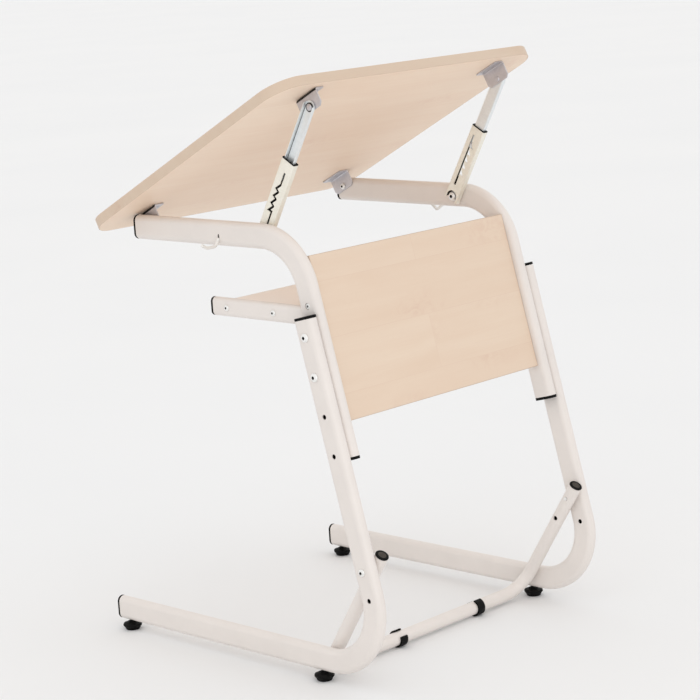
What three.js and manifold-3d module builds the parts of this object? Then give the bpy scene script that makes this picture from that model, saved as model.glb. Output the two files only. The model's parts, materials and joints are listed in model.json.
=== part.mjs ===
// Tilt-top drawing desk for one student: two bent flat-oval tube frames, a height-adjustable upper
// frame with shelf and back panel, a tilting desktop on two ratchet struts, and a swing-down footrest.
// Millimetres. +Z is up, the student sits on the -Y side, +X is the student's right hand.
// The origin is on the floor, in the middle of the desk's outline.
import * as THREE from 'three';
import { mergeVertices } from 'three/addons/utils/BufferGeometryUtils.js';
import Module from 'manifold-3d';

const wasm = await Module();
wasm.setup();

// ---------------------------------------------------------------- driving dimensions
const GAP = 0.3;                 // clearance kept between touching pieces

const TUBE_H = 40;               // flat-oval frame tube, long side
const TUBE_W = 20;               // flat-oval frame tube, short side
const WALL = 1.5;                // tube wall
const BEND_R = 96;               // centreline radius of both frame bends
const LEAN = THREE.MathUtils.degToRad(14);   // legs lean forward by this much
const FOOT_Z = 36;               // height of the foot tube's centreline
const ARM_Z = 696;               // height of the arm tube's centreline
const LOWER_X = 258.5;           // centre plane of each lower frame
const UPPER_X = LOWER_X - TUBE_W - GAP;      // centre plane of each upper frame
const ARM_INNER_X = UPPER_X - TUBE_W / 2;

const FOOT_REACH = 626;          // foot corner to the foot tube's front end
const ARM_REACH = 526.5;         // foot corner to the arm tube's front end, measured along Y
const LOWER_LEG_TOP = 557;       // distances along the leg line, from the foot corner
const UPPER_LEG_BOTTOM = 337.5;
const PITCH = 60 / Math.cos(LEAN);           // height steps of 60 mm, measured along the leg
const TOP_BOLT = 530;
const FOOTREST_HOLE = 163;
const FOOTREST_PITCH = 44.5;
const HOLE_R = 4;
const PLUG_T = 3;                // flange of the foot's end plug
const RIM_T = 4.4;               // flange of every other end plug

const SHELF_TUBE_H = 30;
const SHELF_TUBE_W = 15;
const SHELF_WALL = 1.2;
const SHELF_Z = 577;
const SHELF_TUBE_REACH = 358.5;
const BOARD_T = 16;
const SHELF_FRONT = 346;
const SHELF_BACK = 146.5;
const SHELF_SCREWS = [326, 220.5];
const PANEL_LOW = 390.5;
const PANEL_HIGH = 650.5;
const PANEL_SCREW = 575.5;
const INNER_HALF = ARM_INNER_X - GAP;        // half width of the boards between the frames

const DESK_W = 600;
const DESK_D = 535;
const DESK_T = 16;
const DESK_CORNER_R = 50;
const DESK_TILT = THREE.MathUtils.degToRad(27);
const DESK_FRONT = -73;          // desk front edge, measured from the hinge axis
const HINGE_BACK = 14.5;         // hinge axis behind the arm tube's front end
const HINGE_Z = 702;
const HINGE_DROP = 22;           // hinge axis below the desktop's underside
const STRUT_TOP_U = 424;         // strut pivot, measured along the desktop from the hinge axis
const STRUT_FOOT = 249;          // strut bolt ahead of the foot corner, along Y
const STRUT_X = ARM_INNER_X - 6.3;
const SLEEVE_LEN = 133.5;

const FOOTREST_R = 11;
const FOOTREST_LEAN = THREE.MathUtils.degToRad(33);
const FOOTREST_BEND = 45;
const FOOTREST_X = LOWER_X - TUBE_W / 2 - GAP - FOOTREST_R;
const CLIP_WALL = 3;
const CLIP_PLACES = { right: 75, left: -118 };
const CLIP_MOUTHS = { right: [20, 100], left: [75, 155] };   // opening of each clip, in degrees

const PAD_FRONT = 607;           // levelling feet, ahead of the foot corner
const PAD_BACK = 146;

// The outline runs from the foot plugs' faces to the back of the lower bends, and is centred on Y = 0.
const LOWER_TURN = Math.PI / 2 + LEAN;
const LOWER_TANGENT = BEND_R * Math.tan(LOWER_TURN / 2);
const REAR = BEND_R + TUBE_H / 2 - LOWER_TANGENT;
const CORNER_Y = (FOOT_REACH + GAP + PLUG_T - REAR) / 2;

const LEG_DIR = new THREE.Vector3(0, -Math.sin(LEAN), Math.cos(LEAN));
const LEG_REAR = new THREE.Vector3(0, Math.cos(LEAN), Math.sin(LEAN));
const SIDES = { right: 1, left: -1 };

// ---------------------------------------------------------------- materials
const finish = (color, roughness, metalness) =>
  new THREE.MeshStandardMaterial({ color, roughness, metalness });
const PAINT = finish(0xe6deda, 0.45, 0.0);
const MAPLE = finish(0xe3cdb4, 0.6, 0.0);
const BLACK = finish(0x26231f, 0.55, 0.0);
const ZINC = finish(0xa9a6a6, 0.35, 1.0);
const BRIGHT = finish(0xd3dada, 0.25, 1.0);
const CREAM = finish(0xd8d2bd, 0.4, 0.6);
const WHITE = finish(0xe9e9e6, 0.4, 0.0);

// ---------------------------------------------------------------- solids and placement
function toSolid(geometry) {
  const bare = geometry.clone();
  bare.deleteAttribute('normal');
  bare.deleteAttribute('uv');
  const merged = mergeVertices(bare, 1e-4);
  return new wasm.Manifold(new wasm.Mesh({
    numProp: 3,
    vertProperties: new Float32Array(merged.attributes.position.array),
    triVerts: new Uint32Array(merged.index.array),
  }));
}

function toGeometry(solid) {
  const mesh = solid.getMesh();
  const geometry = new THREE.BufferGeometry();
  geometry.setAttribute('position', new THREE.BufferAttribute(mesh.vertProperties, 3));
  geometry.setIndex(new THREE.BufferAttribute(mesh.triVerts, 1));
  geometry.computeVertexNormals();
  return geometry;
}

function cut(geometry, ...tools) {
  return toGeometry(tools.reduce((solid, tool) => solid.subtract(toSolid(tool)), toSolid(geometry)));
}

function join(geometry, ...others) {
  return toGeometry(others.reduce((solid, other) => solid.add(toSolid(other)), toSolid(geometry)));
}

const V = (x, y, z) => new THREE.Vector3(x, y, z);
const ALONG_X = new THREE.Matrix4().makeBasis(V(0, 1, 0), V(0, 0, 1), V(1, 0, 0));
const ALONG_Y = new THREE.Matrix4().makeBasis(V(0, 0, 1), V(1, 0, 0), V(0, 1, 0));

// A shape drawn in (y, z) and extruded between two planes of constant x.
function slabX(shape, x0, x1, curveSegments = 6) {
  const low = Math.min(x0, x1);
  const depth = Math.abs(x1 - x0);
  const geometry = new THREE.ExtrudeGeometry(shape, { depth, bevelEnabled: false, curveSegments });
  return geometry.applyMatrix4(ALONG_X).translate(low, 0, 0);
}

function box(x0, x1, y0, y1, z0, z1) {
  const size = [Math.abs(x1 - x0), Math.abs(y1 - y0), Math.abs(z1 - z0)];
  return new THREE.BoxGeometry(...size).translate((x0 + x1) / 2, (y0 + y1) / 2, (z0 + z1) / 2);
}

// A round bar along X, between two planes of constant x, about the axis (y, z).
function barX(radius, x0, x1, y, z, segments = 16) {
  const bar = new THREE.CylinderGeometry(radius, radius, Math.abs(x1 - x0), segments);
  return bar.rotateZ(Math.PI / 2).translate((x0 + x1) / 2, y, z);
}

function barZ(radius, z0, z1, x, y, segments = 16) {
  const bar = new THREE.CylinderGeometry(radius, radius, z1 - z0, segments);
  return bar.rotateX(Math.PI / 2).translate(x, y, (z0 + z1) / 2);
}

function rectangle(w, h, r) {
  const shape = new THREE.Shape();
  const a = w / 2;
  const b = h / 2;
  shape.moveTo(-a + r, -b);
  shape.lineTo(a - r, -b);
  shape.absarc(a - r, -b + r, r, -Math.PI / 2, 0);
  shape.lineTo(a, b - r);
  shape.absarc(a - r, b - r, r, 0, Math.PI / 2);
  shape.lineTo(-a + r, b);
  shape.absarc(-a + r, b - r, r, Math.PI / 2, Math.PI);
  shape.lineTo(-a, -b + r);
  shape.absarc(-a + r, -b + r, r, Math.PI, Math.PI * 1.5);
  return shape;
}

function polygon(points) {
  return new THREE.Shape(points.map(([a, b]) => new THREE.Vector2(a, b)));
}

function flatOval(w, h) {
  return rectangle(w, h, w / 2 - 0.001);
}

function flatOvalTube(w, h, wall) {
  const section = flatOval(w, h);
  section.holes.push(flatOval(w - 2 * wall, h - 2 * wall));
  return section;
}

// A path lying in the plane normal to `side`, given by its points and tangents in order.
class PlanarPath extends THREE.Curve {
  constructor(stations, side) {
    super();
    this.stations = stations;
    this.side = side;
  }

  getSpacedPoints() {
    return this.stations.map((station) => station.point.clone());
  }

  computeFrenetFrames() {
    const tangents = this.stations.map((station) => station.tangent.clone());
    const normals = tangents.map(() => this.side.clone());
    const binormals = tangents.map((tangent) => tangent.clone().cross(this.side));
    return { tangents, normals, binormals };
  }
}

// Stations along straight runs joined by arcs: `corners` are the points where the runs would meet.
function bentStations(corners, radius, side, arcSteps) {
  const stations = [];
  const direction = (i) => corners[i + 1].clone().sub(corners[i]).normalize();
  const push = (point, tangent) => stations.push({ point, tangent });
  push(corners[0].clone(), direction(0));
  for (let i = 1; i < corners.length - 1; i++) {
    const before = direction(i - 1);
    const after = direction(i);
    const turn = before.angleTo(after);
    const sign = Math.sign(before.clone().cross(after).dot(side));
    const start = corners[i].clone().addScaledVector(before, -radius * Math.tan(turn / 2));
    const inward = side.clone().cross(before).multiplyScalar(sign);
    const centre = start.clone().addScaledVector(inward, radius);
    for (let k = 0; k <= arcSteps; k++) {
      const angle = (sign * turn * k) / arcSteps;
      const spoke = inward.clone().multiplyScalar(-radius).applyAxisAngle(side, angle);
      push(centre.clone().add(spoke), before.clone().applyAxisAngle(side, angle));
    }
  }
  push(corners[corners.length - 1].clone(), direction(corners.length - 2));
  return stations;
}

function sweep(section, stations, side, curveSegments) {
  const extrudePath = new PlanarPath(stations, side);
  return new THREE.ExtrudeGeometry(section, { steps: stations.length - 1, extrudePath, curveSegments });
}

function legPoint(s, off = 0) {
  return V(0, CORNER_Y, FOOT_Z).addScaledVector(LEG_DIR, s).addScaledVector(LEG_REAR, off);
}

const assembly = new THREE.Group();

function add(parent, name, geometry, material, x = 0, y = 0, z = 0, tilt = 0) {
  const mesh = new THREE.Mesh(geometry, material);
  mesh.name = name;
  mesh.position.set(x, y, z);
  mesh.rotation.x = tilt;
  parent.add(mesh);
}

// ---------------------------------------------------------------- frame tubes
const SIDE_X = V(1, 0, 0);
const UPPER_CORNER = (ARM_Z - FOOT_Z) / Math.cos(LEAN);

function legHoles(places, x0, x1, radius = HOLE_R) {
  return places.map((s) => barX(radius, x0, x1, legPoint(s).y, legPoint(s).z, 14));
}

// Foot along the floor, a wide bend, and a leg that leans forward. Bolt holes go right through.
function lowerFrameGeometry() {
  const corners = [V(0, CORNER_Y - FOOT_REACH, FOOT_Z), V(0, CORNER_Y, FOOT_Z), legPoint(LOWER_LEG_TOP)];
  const stations = bentStations(corners, BEND_R, SIDE_X, 10);
  const tube = sweep(flatOvalTube(TUBE_W, TUBE_H, WALL), stations, SIDE_X, 3);
  const places = [0, 1, 2, 3].map((i) => TOP_BOLT - i * PITCH);
  places.push(FOOTREST_HOLE, FOOTREST_HOLE - FOOTREST_PITCH);
  const studs = [PAD_FRONT, PAD_BACK].map((reach) =>
    barZ(4.4, FOOT_Z - TUBE_H, FOOT_Z, 0, CORNER_Y - reach));
  return cut(tube, ...legHoles(places, -TUBE_W, TUBE_W), ...studs);
}

// Leg that slides along the lower leg, a wide bend, and a level arm under the desktop.
function upperFrameGeometry(side) {
  const armFront = V(0, CORNER_Y - ARM_REACH, ARM_Z);
  const corners = [legPoint(UPPER_LEG_BOTTOM), legPoint(UPPER_CORNER), armFront];
  const stations = bentStations(corners, BEND_R, SIDE_X, 9);
  const tube = sweep(flatOvalTube(TUBE_W, TUBE_H, WALL), stations, SIDE_X, 3);
  const outer = side * TUBE_W;
  return cut(
    tube,
    ...legHoles([TOP_BOLT, TOP_BOLT - PITCH], 0, outer),
    ...legHoles([PANEL_SCREW], 0, outer, 5.2),
    ...legHoles([PANEL_SCREW], 0, -outer, 2.5),
    barX(3.3, 0, -outer, HINGE_Y, HINGE_Z),
    barX(3.3, 0, -outer, STRUT_BOLT_Y, ARM_Z),
    box(0, outer, HOOK_Y - 1.6, HOOK_Y + 1.6, HOOK_Z - 3.5, HOOK_Z + 6.5),
  );
}

// The shelf tube butts against the front of the upper leg and is welded there.
function shelfTubeGeometry(side) {
  const front = CORNER_Y - SHELF_TUBE_REACH;
  const back = legPoint((SHELF_Z - FOOT_Z) / Math.cos(LEAN)).y;
  const corners = [V(0, front, SHELF_Z), V(0, back, SHELF_Z)];
  const stations = bentStations(corners, 1, SIDE_X, 1);
  const tube = sweep(flatOvalTube(SHELF_TUBE_W, SHELF_TUBE_H, SHELF_WALL), stations, SIDE_X, 3);
  const legLine = [legPoint(UPPER_LEG_BOTTOM), legPoint(UPPER_CORNER)];
  const legShape = flatOval(TUBE_W + 2 * GAP, TUBE_H + 2 * GAP);
  const leg = sweep(legShape, bentStations(legLine, 1, SIDE_X, 1), SIDE_X, 3);
  leg.translate(side * (UPPER_X - SHELF_X), 0, 0);
  const holes = SHELF_SCREWS.map((reach) => barX(2.5, -TUBE_W, TUBE_W, CORNER_Y - reach, SHELF_Z));
  return cut(tube, leg, ...holes);
}

// Plug for a flat-oval tube end: a flange over the end and a body inside. The flange faces +Z.
function plugGeometry(w, h, wall, thick = RIM_T) {
  const flange = new THREE.ExtrudeGeometry(flatOval(w, h), {
    depth: thick, bevelEnabled: false, curveSegments: 3,
  }).translate(0, 0, GAP);
  const slack = 2 * (wall + GAP);
  const body = new THREE.ExtrudeGeometry(flatOval(w - slack, h - slack), {
    depth: 11, bevelEnabled: false, curveSegments: 2,
  }).translate(0, 0, GAP + 0.5 - 11);
  return join(flange, body);
}

// ---------------------------------------------------------------- fasteners
// A screw along X: domed head with a hexagonal socket outside x = 0, shank of length L on the -X side.
function screwGeometry(headR, headH, shankR, shankL, socketR) {
  const dome = [[0, -shankL], [shankR, -shankL], [shankR, 0], [headR, 0], [headR, headH * 0.35],
    [headR * 0.8, headH * 0.8], [headR * 0.5, headH], [0, headH]];
  const profile = dome.map(([r, z]) => new THREE.Vector2(r, z));
  const body = new THREE.LatheGeometry(profile, 14);
  const socket = new THREE.CylinderGeometry(socketR, socketR, headH * 1.2, 6).translate(0, headH, 0);
  return cut(body, socket).rotateZ(-Math.PI / 2);
}

function addScrew(parent, name, side, x, y, z, size, material) {
  const geometry = screwGeometry(...size);
  if (side < 0) geometry.rotateY(Math.PI);
  add(parent, name, geometry, material, x, y, z);
}

// ---------------------------------------------------------------- desktop and its hardware
const HINGE_Y = CORNER_Y - ARM_REACH + HINGE_BACK;
const STRUT_BOLT_Y = CORNER_Y - STRUT_FOOT;
const HOOK_Y = CORNER_Y - 328;
const HOOK_Z = 688;
const SHELF_X = ARM_INNER_X + SHELF_TUBE_W / 2;

function desktopGeometry() {
  const shape = rectangle(DESK_W, DESK_D, DESK_CORNER_R);
  return new THREE.ExtrudeGeometry(shape, { depth: DESK_T, bevelEnabled: false, curveSegments: 6 })
    .translate(0, DESK_FRONT + DESK_D / 2, HINGE_DROP);
}

const BRACKET_T = 2;
const BRACKET_HALF = 24;
const EAR_DROP = 7;              // ear edge below the pivot
const PLATE_Z = HINGE_DROP - GAP;

function earShape(holeR) {
  const low = -EAR_DROP;
  const clip = 5;
  const a = BRACKET_HALF;
  const points = [[-a, PLATE_Z], [-a, low + clip], [-a + clip, low], [a - clip, low], [a, low + clip],
    [a, PLATE_Z]];
  const ear = polygon(points);
  if (holeR) ear.holes.push(new THREE.Path().absarc(0, 0, holeR, 0, Math.PI * 2));
  return ear;
}

function plateGeometry(x0, x1) {
  const plate = box(x0, x1, -BRACKET_HALF, BRACKET_HALF, PLATE_Z - BRACKET_T, PLATE_Z);
  const towards = Math.sign(x1 - x0);
  const holes = [-14, 14].map((u) => barZ(2.4, 0, HINGE_DROP, x1 - towards * 7, u, 12));
  return cut(plate, ...holes);
}

// Angle bracket of the desktop's hinge: a plate under the desktop and one ear beside the arm.
function hingeBracketGeometry(side) {
  const ear = slabX(earShape(3.4), side * (ARM_INNER_X - 0.6), side * (ARM_INNER_X - 0.6 - BRACKET_T), 4);
  const plate = plateGeometry(side * (ARM_INNER_X - 0.6), side * (ARM_INNER_X - 23));
  return join(ear, plate);
}

// Angle bracket of a strut: a plate, one ear on the slider's inner face and the rivet's end on the ear.
function strutBracketGeometry(side) {
  const near = STRUT_X - SLIDER_D / 2 - GAP;
  const far = near - BRACKET_T;
  const ear = slabX(earShape(0), side * near, side * far, 4);
  const rivetEnd = barX(4.5, side * (far + 0.05), side * (far - 1.6), 0, 0, 16);
  return join(plateGeometry(side * near, side * 198.5), ear, rivetEnd);
}

// ---------------------------------------------------------------- ratchet strut, in its own frame
// Local +Y runs from the strut bolt to the desktop pivot, and +X is outboard before mirroring.
const SLEEVE_W = 28;
const SLEEVE_D = 11;
const SLEEVE_WALL = 1.2;
const SLEEVE_FOOT = -7;
const SLIDER_W = 21;
const SLIDER_D = 6.6;
const SLIDER_START = 95;
const PIN_PLACE = 104;
const PIN_ACROSS = 2.7;
const TEETH = 5;
const TOOTH_PITCH = 13;

const strutTop = V(0, HINGE_Y, HINGE_Z).add(
  V(0, STRUT_TOP_U * Math.cos(DESK_TILT), STRUT_TOP_U * Math.sin(DESK_TILT)));
const strutVector = strutTop.clone().sub(V(0, STRUT_BOLT_Y, ARM_Z));
const STRUT_LEN = strutVector.length();
const STRUT_ANGLE = Math.atan2(strutVector.z, strutVector.y);

// A narrow straight slot for the ratchet's pin, with saw teeth on its rear side.
function toothedSlot() {
  const points = [[22, 4.7], [120, 4.7], [120, 0.9]];
  for (let i = TEETH - 1; i >= 0; i--) {
    const y = 44 + i * TOOTH_PITCH;
    points.push([y + 9, 0.9], [y, -6], [y, 0.9]);
  }
  points.push([22, 0.9]);
  return polygon(points);
}

// A line of even width through the given points, with mitred corners.
function strokeShape(points, width) {
  const place = points.map(([a, b]) => new THREE.Vector2(a, b));
  const normal = (i) => {
    const run = place[i + 1].clone().sub(place[i]).normalize();
    return new THREE.Vector2(-run.y, run.x);
  };
  const offset = place.map((point, i) => {
    const before = normal(Math.max(i - 1, 0));
    const after = normal(Math.min(i, place.length - 2));
    const mitre = before.clone().add(after).normalize();
    return mitre.multiplyScalar(width / 2 / mitre.dot(before));
  });
  const left = place.map((point, i) => point.clone().add(offset[i]));
  const right = place.map((point, i) => point.clone().sub(offset[i])).reverse();
  return new THREE.Shape([...left, ...right]);
}

// The zigzag slot on the arm side: straight, four saw teeth, straight again.
function zigzagSlot() {
  const points = [[20, -2], [44, -2]];
  for (let i = 0; i < 4; i++) {
    points.push([43.5 + i * TOOTH_PITCH, 4.6], [53.5 + i * TOOTH_PITCH, -2]);
  }
  points.push([114, -2]);
  return strokeShape(points, 3);
}

// The left sleeve has a plain window on the arm side, behind its teeth.
const WINDOW = polygon([[34, 0.8], [99, 0.8], [99, 8.4], [34, 8.4]]);

function sleeveGeometry(side) {
  const section = rectangle(SLEEVE_W, SLEEVE_D, 1.8);
  section.holes.push(rectangle(SLEEVE_W - 2 * SLEEVE_WALL, SLEEVE_D - 2 * SLEEVE_WALL, 0.8));
  const tube = new THREE.ExtrudeGeometry(section, {
    depth: SLEEVE_LEN - SLEEVE_FOOT, bevelEnabled: false, curveSegments: 2,
  }).applyMatrix4(ALONG_Y).translate(0, SLEEVE_FOOT, 0);
  const half = SLEEVE_D / 2;
  const inside = side * (half - SLEEVE_WALL - 0.2);
  const notch = join(
    barX(10.5, -side * (half + 1), inside, 0, 0, 24),
    box(-side * (half + 1), inside, SLEEVE_FOOT - 1, 0, -10.5, 10.5),
  );
  return cut(
    tube,
    notch,
    barX(3.3, 0, side * (half + 1), 0, 0),
    slabX(toothedSlot(), 0, -side * (half + 1)),
    slabX(side > 0 ? zigzagSlot() : WINDOW, 0, side * (half + 1)),
  );
}

// Channel section, open towards the arm, with a rounded top end and the ratchet pin's hole.
function sliderGeometry(side) {
  const r = SLIDER_W / 2;
  const outline = new THREE.Shape();
  outline.moveTo(SLIDER_START, -r);
  outline.lineTo(STRUT_LEN, -r);
  outline.absarc(STRUT_LEN, 0, r, -Math.PI / 2, Math.PI / 2);
  outline.lineTo(SLIDER_START, r);
  const half = SLIDER_D / 2;
  const blank = slabX(outline, -half, half, 6);
  const web = -side * (half - WALL);
  const hollow = box(web, side * (half + 1), SLIDER_START - 1, STRUT_LEN + 20, -r + WALL, r - WALL);
  const rivetHole = barX(4.3, -half - 1, half + 1, STRUT_LEN, 0);
  const pinHole = barX(1.5, -half - 1, half + 1, PIN_PLACE, PIN_ACROSS);
  return cut(blank, hollow, rivetHole, pinHole);
}

function guideGeometry() {
  const clear = 0.25;
  const hole = rectangle(SLIDER_W + 2 * clear, SLIDER_D + 2 * clear, 0.4);
  const collar = rectangle(SLEEVE_W, SLEEVE_D, 1.8);
  collar.holes.push(hole);
  const slack = 2 * (SLEEVE_WALL + GAP);
  const skirt = rectangle(SLEEVE_W - slack, SLEEVE_D - slack, 0.6);
  skirt.holes.push(hole);
  const options = (depth) => ({ depth, bevelEnabled: false, curveSegments: 2 });
  const rim = new THREE.ExtrudeGeometry(collar, options(1.4)).translate(0, 0, SLEEVE_LEN + GAP);
  const tongue = new THREE.ExtrudeGeometry(skirt, options(11)).translate(0, 0, SLEEVE_LEN + GAP - 10.5);
  return join(rim, tongue).applyMatrix4(ALONG_Y);
}

// Rivet through the slider's web, with its head inside the channel.
function rivetGeometry(side) {
  const web = SLIDER_D / 2 - WALL;
  const head = barX(5.5, -side * (web - GAP), -side * (web - GAP - 2), STRUT_LEN, 0);
  return join(head, barX(4, -side * (web - GAP - 0.1), -side * SLIDER_D / 2, STRUT_LEN, 0));
}

function addStrut(parent, name, side) {
  const strut = new THREE.Group();
  strut.position.set(side * STRUT_X, STRUT_BOLT_Y, ARM_Z);
  strut.rotation.x = STRUT_ANGLE;
  parent.add(strut);
  add(strut, `strut_sleeve_${name}`, sleeveGeometry(side), CREAM);
  add(strut, `strut_guide_${name}`, guideGeometry(), BLACK);
  add(strut, `strut_slider_${name}`, sliderGeometry(side), BRIGHT);
  add(strut, `strut_rivet_${name}`, rivetGeometry(side), ZINC);
  const inner = -side * (SLEEVE_D / 2 + 0.8);
  const pin = barX(1.2, inner, -side * (SLIDER_D / 2 - WALL - 1), PIN_PLACE, PIN_ACROSS, 12);
  add(strut, `ratchet_pin_${name}`, pin, ZINC);
}

// ---------------------------------------------------------------- small parts
// Levelling foot: a plastic knob that narrows to the floor, on a threaded stud.
function levellingFootGeometry() {
  const profile = [[0, 0], [11.5, 0], [12.5, 1], [16.3, 7], [16.3, 10], [14, 11.5], [7, 12.5], [7, 14.5],
    [4, 14.5], [4, 32], [0, 32]].map(([r, z]) => new THREE.Vector2(r, z));
  return new THREE.LatheGeometry(profile, 20).rotateX(Math.PI / 2);
}

// Bag hook: a thick wire on a tongue through the arm's slit. It drops, turns outward and rises.
// Each line gives distance out from the arm and height above the slit; the left hook hangs lower.
const HOOK_LINES = {
  right: [[0, 0], [8, -11], [26, -11], [36.5, -5]],
  left: [[0, 0], [5, -13], [18, -25], [35, -17]],
};

function bagHookGeometry(name, side) {
  const corners = HOOK_LINES[name].map(([out, up]) => V(side * out, 0, up));
  const start = corners[0].clone().sub(corners[1]).normalize().multiplyScalar(3);
  corners[0].add(start);
  const normal = V(0, 1, 0);
  const round = new THREE.Shape().absarc(0, 0, 2.6, 0, Math.PI * 2);
  const wire = sweep(round, bentStations(corners, 6, normal, 6), normal, 5);
  const trimmed = cut(wire, box(0, -side * 20, -20, 20, -20, 20));
  return join(trimmed, box(-side * 8, side * 1.5, -1.1, 1.1, -2.4, 2.2));
}

// Footrest: one round tube bent into a U, its ends above the pivot bolts.
const FOOTREST_DIR = V(0, -Math.sin(FOOTREST_LEAN), -Math.cos(FOOTREST_LEAN));
const FOOTREST_NORMAL = V(0, Math.cos(FOOTREST_LEAN), -Math.sin(FOOTREST_LEAN));
const PIVOT = legPoint(FOOTREST_HOLE);
const BAR_Z = FOOTREST_R + GAP + CLIP_WALL;
const FOOTREST_LEN = (PIVOT.z - BAR_Z) / Math.cos(FOOTREST_LEAN);
const BAR_Y = PIVOT.y + FOOTREST_DIR.y * FOOTREST_LEN;
const FOOTREST_TOP = 25;

function footrestGeometry() {
  const end = (x) => V(x, PIVOT.y, PIVOT.z).addScaledVector(FOOTREST_DIR, -FOOTREST_TOP);
  const low = (x) => V(x, PIVOT.y, PIVOT.z).addScaledVector(FOOTREST_DIR, FOOTREST_LEN);
  const corners = [end(-FOOTREST_X), low(-FOOTREST_X), low(FOOTREST_X), end(FOOTREST_X)];
  const stations = bentStations(corners, FOOTREST_BEND, FOOTREST_NORMAL, 8);
  const ring = new THREE.Shape().absarc(0, 0, FOOTREST_R, 0, Math.PI * 2);
  ring.holes.push(new THREE.Path().absarc(0, 0, FOOTREST_R - WALL, 0, Math.PI * 2));
  const tube = sweep(ring, stations, FOOTREST_NORMAL, 9);
  const second = V(0, PIVOT.y, PIVOT.z).addScaledVector(FOOTREST_DIR, FOOTREST_PITCH);
  const span = FOOTREST_X + 2 * FOOTREST_R;
  const holes = Object.values(SIDES).flatMap((side) => [
    barX(3.3, side * (FOOTREST_X - 15), side * span, PIVOT.y, PIVOT.z),
    barX(HOLE_R, side * (FOOTREST_X - 15), side * span, second.y, second.z),
  ]);
  return cut(tube, ...holes);
}

function roundPlugGeometry() {
  const r = FOOTREST_R - WALL - GAP;
  const profile = [[0, -9], [r, -9], [r, GAP], [FOOTREST_R, GAP], [FOOTREST_R, 1.8], [FOOTREST_R - 2, 2.8],
    [0, 3.2]].map(([a, z]) => new THREE.Vector2(a, z));
  return new THREE.LatheGeometry(profile, 16).rotateX(Math.PI / 2);
}

// Glide: a C-shaped plastic clip round the footrest's crossbar, with its mouth above.
function clipGeometry(mouth) {
  const inner = FOOTREST_R + GAP;
  const outer = inner + CLIP_WALL;
  const [openFrom, openTo] = mouth.map(THREE.MathUtils.degToRad);
  const shape = new THREE.Shape();
  shape.absarc(0, 0, outer, openTo, openFrom + 2 * Math.PI);
  shape.absarc(0, 0, inner, openFrom + 2 * Math.PI, openTo, true);
  return slabX(shape, -8, 8, 12);
}

// ---------------------------------------------------------------- assembly
function addFrames() {
  for (const [name, side] of Object.entries(SIDES)) {
    const lowerX = side * LOWER_X;
    const upperX = side * UPPER_X;
    const shelfX = side * SHELF_X;
    add(assembly, `lower_frame_${name}`, lowerFrameGeometry(), PAINT, lowerX);
    add(assembly, `upper_frame_${name}`, upperFrameGeometry(side), PAINT, upperX);
    add(assembly, `shelf_tube_${name}`, shelfTubeGeometry(side), PAINT, shelfX);

    const plug = plugGeometry(TUBE_W, TUBE_H, WALL);
    const legTop = legPoint(LOWER_LEG_TOP);
    const legEnd = legPoint(UPPER_LEG_BOTTOM);
    const front = Math.PI / 2;
    const footPlug = plugGeometry(TUBE_W, TUBE_H, WALL, PLUG_T);
    add(assembly, `foot_plug_${name}`, footPlug, BLACK, lowerX, CORNER_Y - FOOT_REACH, FOOT_Z, front);
    add(assembly, `lower_leg_plug_${name}`, plug, BLACK, lowerX, legTop.y, legTop.z, LEAN);
    add(assembly, `upper_leg_plug_${name}`, plug, BLACK, upperX, legEnd.y, legEnd.z, LEAN + Math.PI);
    add(assembly, `arm_plug_${name}`, plug, BLACK, upperX, CORNER_Y - ARM_REACH, ARM_Z, front);
    const smallPlug = plugGeometry(SHELF_TUBE_W, SHELF_TUBE_H, SHELF_WALL);
    add(assembly, `shelf_plug_${name}`, smallPlug, BLACK, shelfX, CORNER_Y - SHELF_TUBE_REACH, SHELF_Z, front);

    addFasteners(name, side);
    add(assembly, `bag_hook_${name}`, bagHookGeometry(name, side), WHITE, side * (UPPER_X + TUBE_W / 2 + GAP),
      HOOK_Y, HOOK_Z);
    addStrut(assembly, name, side);
    for (const [place, reach] of [['front', PAD_FRONT], ['rear', PAD_BACK]]) {
      add(assembly, `levelling_foot_${place}_${name}`, levellingFootGeometry(), BLACK, lowerX,
        CORNER_Y - reach, 0);
    }
  }
}

function addFasteners(name, side) {
  const outer = side * (LOWER_X + TUBE_W / 2 + GAP);
  for (const [tag, s] of [['upper', TOP_BOLT], ['lower', TOP_BOLT - PITCH]]) {
    const at = legPoint(s);
    addScrew(assembly, `leg_bolt_${tag}_${name}`, side, outer, at.y, at.z, [7, 4, 3, TUBE_W, 2.6], ZINC);
  }
  const reach = TUBE_W + 2 * FOOTREST_R + 3 * GAP + 3;
  addScrew(assembly, `footrest_bolt_${name}`, side, outer, PIVOT.y, PIVOT.z, [6, 3.5, 3, reach, 2.4], ZINC);
  const shelfFace = side * (SHELF_X + SHELF_TUBE_W / 2 + GAP);
  for (const [index, place] of [['front', 0], ['rear', 1]]) {
    const y = CORNER_Y - SHELF_SCREWS[place];
    addScrew(assembly, `shelf_screw_${index}_${name}`, side, shelfFace, y, SHELF_Z, [5, 3, 2, 38, 1.9], ZINC);
  }
  const panel = legPoint(PANEL_SCREW);
  const flush = side * (UPPER_X + TUBE_W / 2 - 2.4);
  addScrew(assembly, `panel_screw_${name}`, side, flush, panel.y, panel.z, [4.9, 2.2, 2, 42, 1.9], ZINC);
  const armFace = -side;
  addScrew(assembly, `hinge_screw_${name}`, armFace, side * (ARM_INNER_X - 0.6 - BRACKET_T - GAP), HINGE_Y,
    HINGE_Z, [5.5, 3.5, 3, 14, 2.2], ZINC);
  addScrew(assembly, `strut_bolt_${name}`, armFace, side * (STRUT_X + SLEEVE_D / 2 - SLEEVE_WALL - GAP),
    STRUT_BOLT_Y, ARM_Z, [8, 10.5, 3, 14, 2.8], BRIGHT);
}

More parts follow.
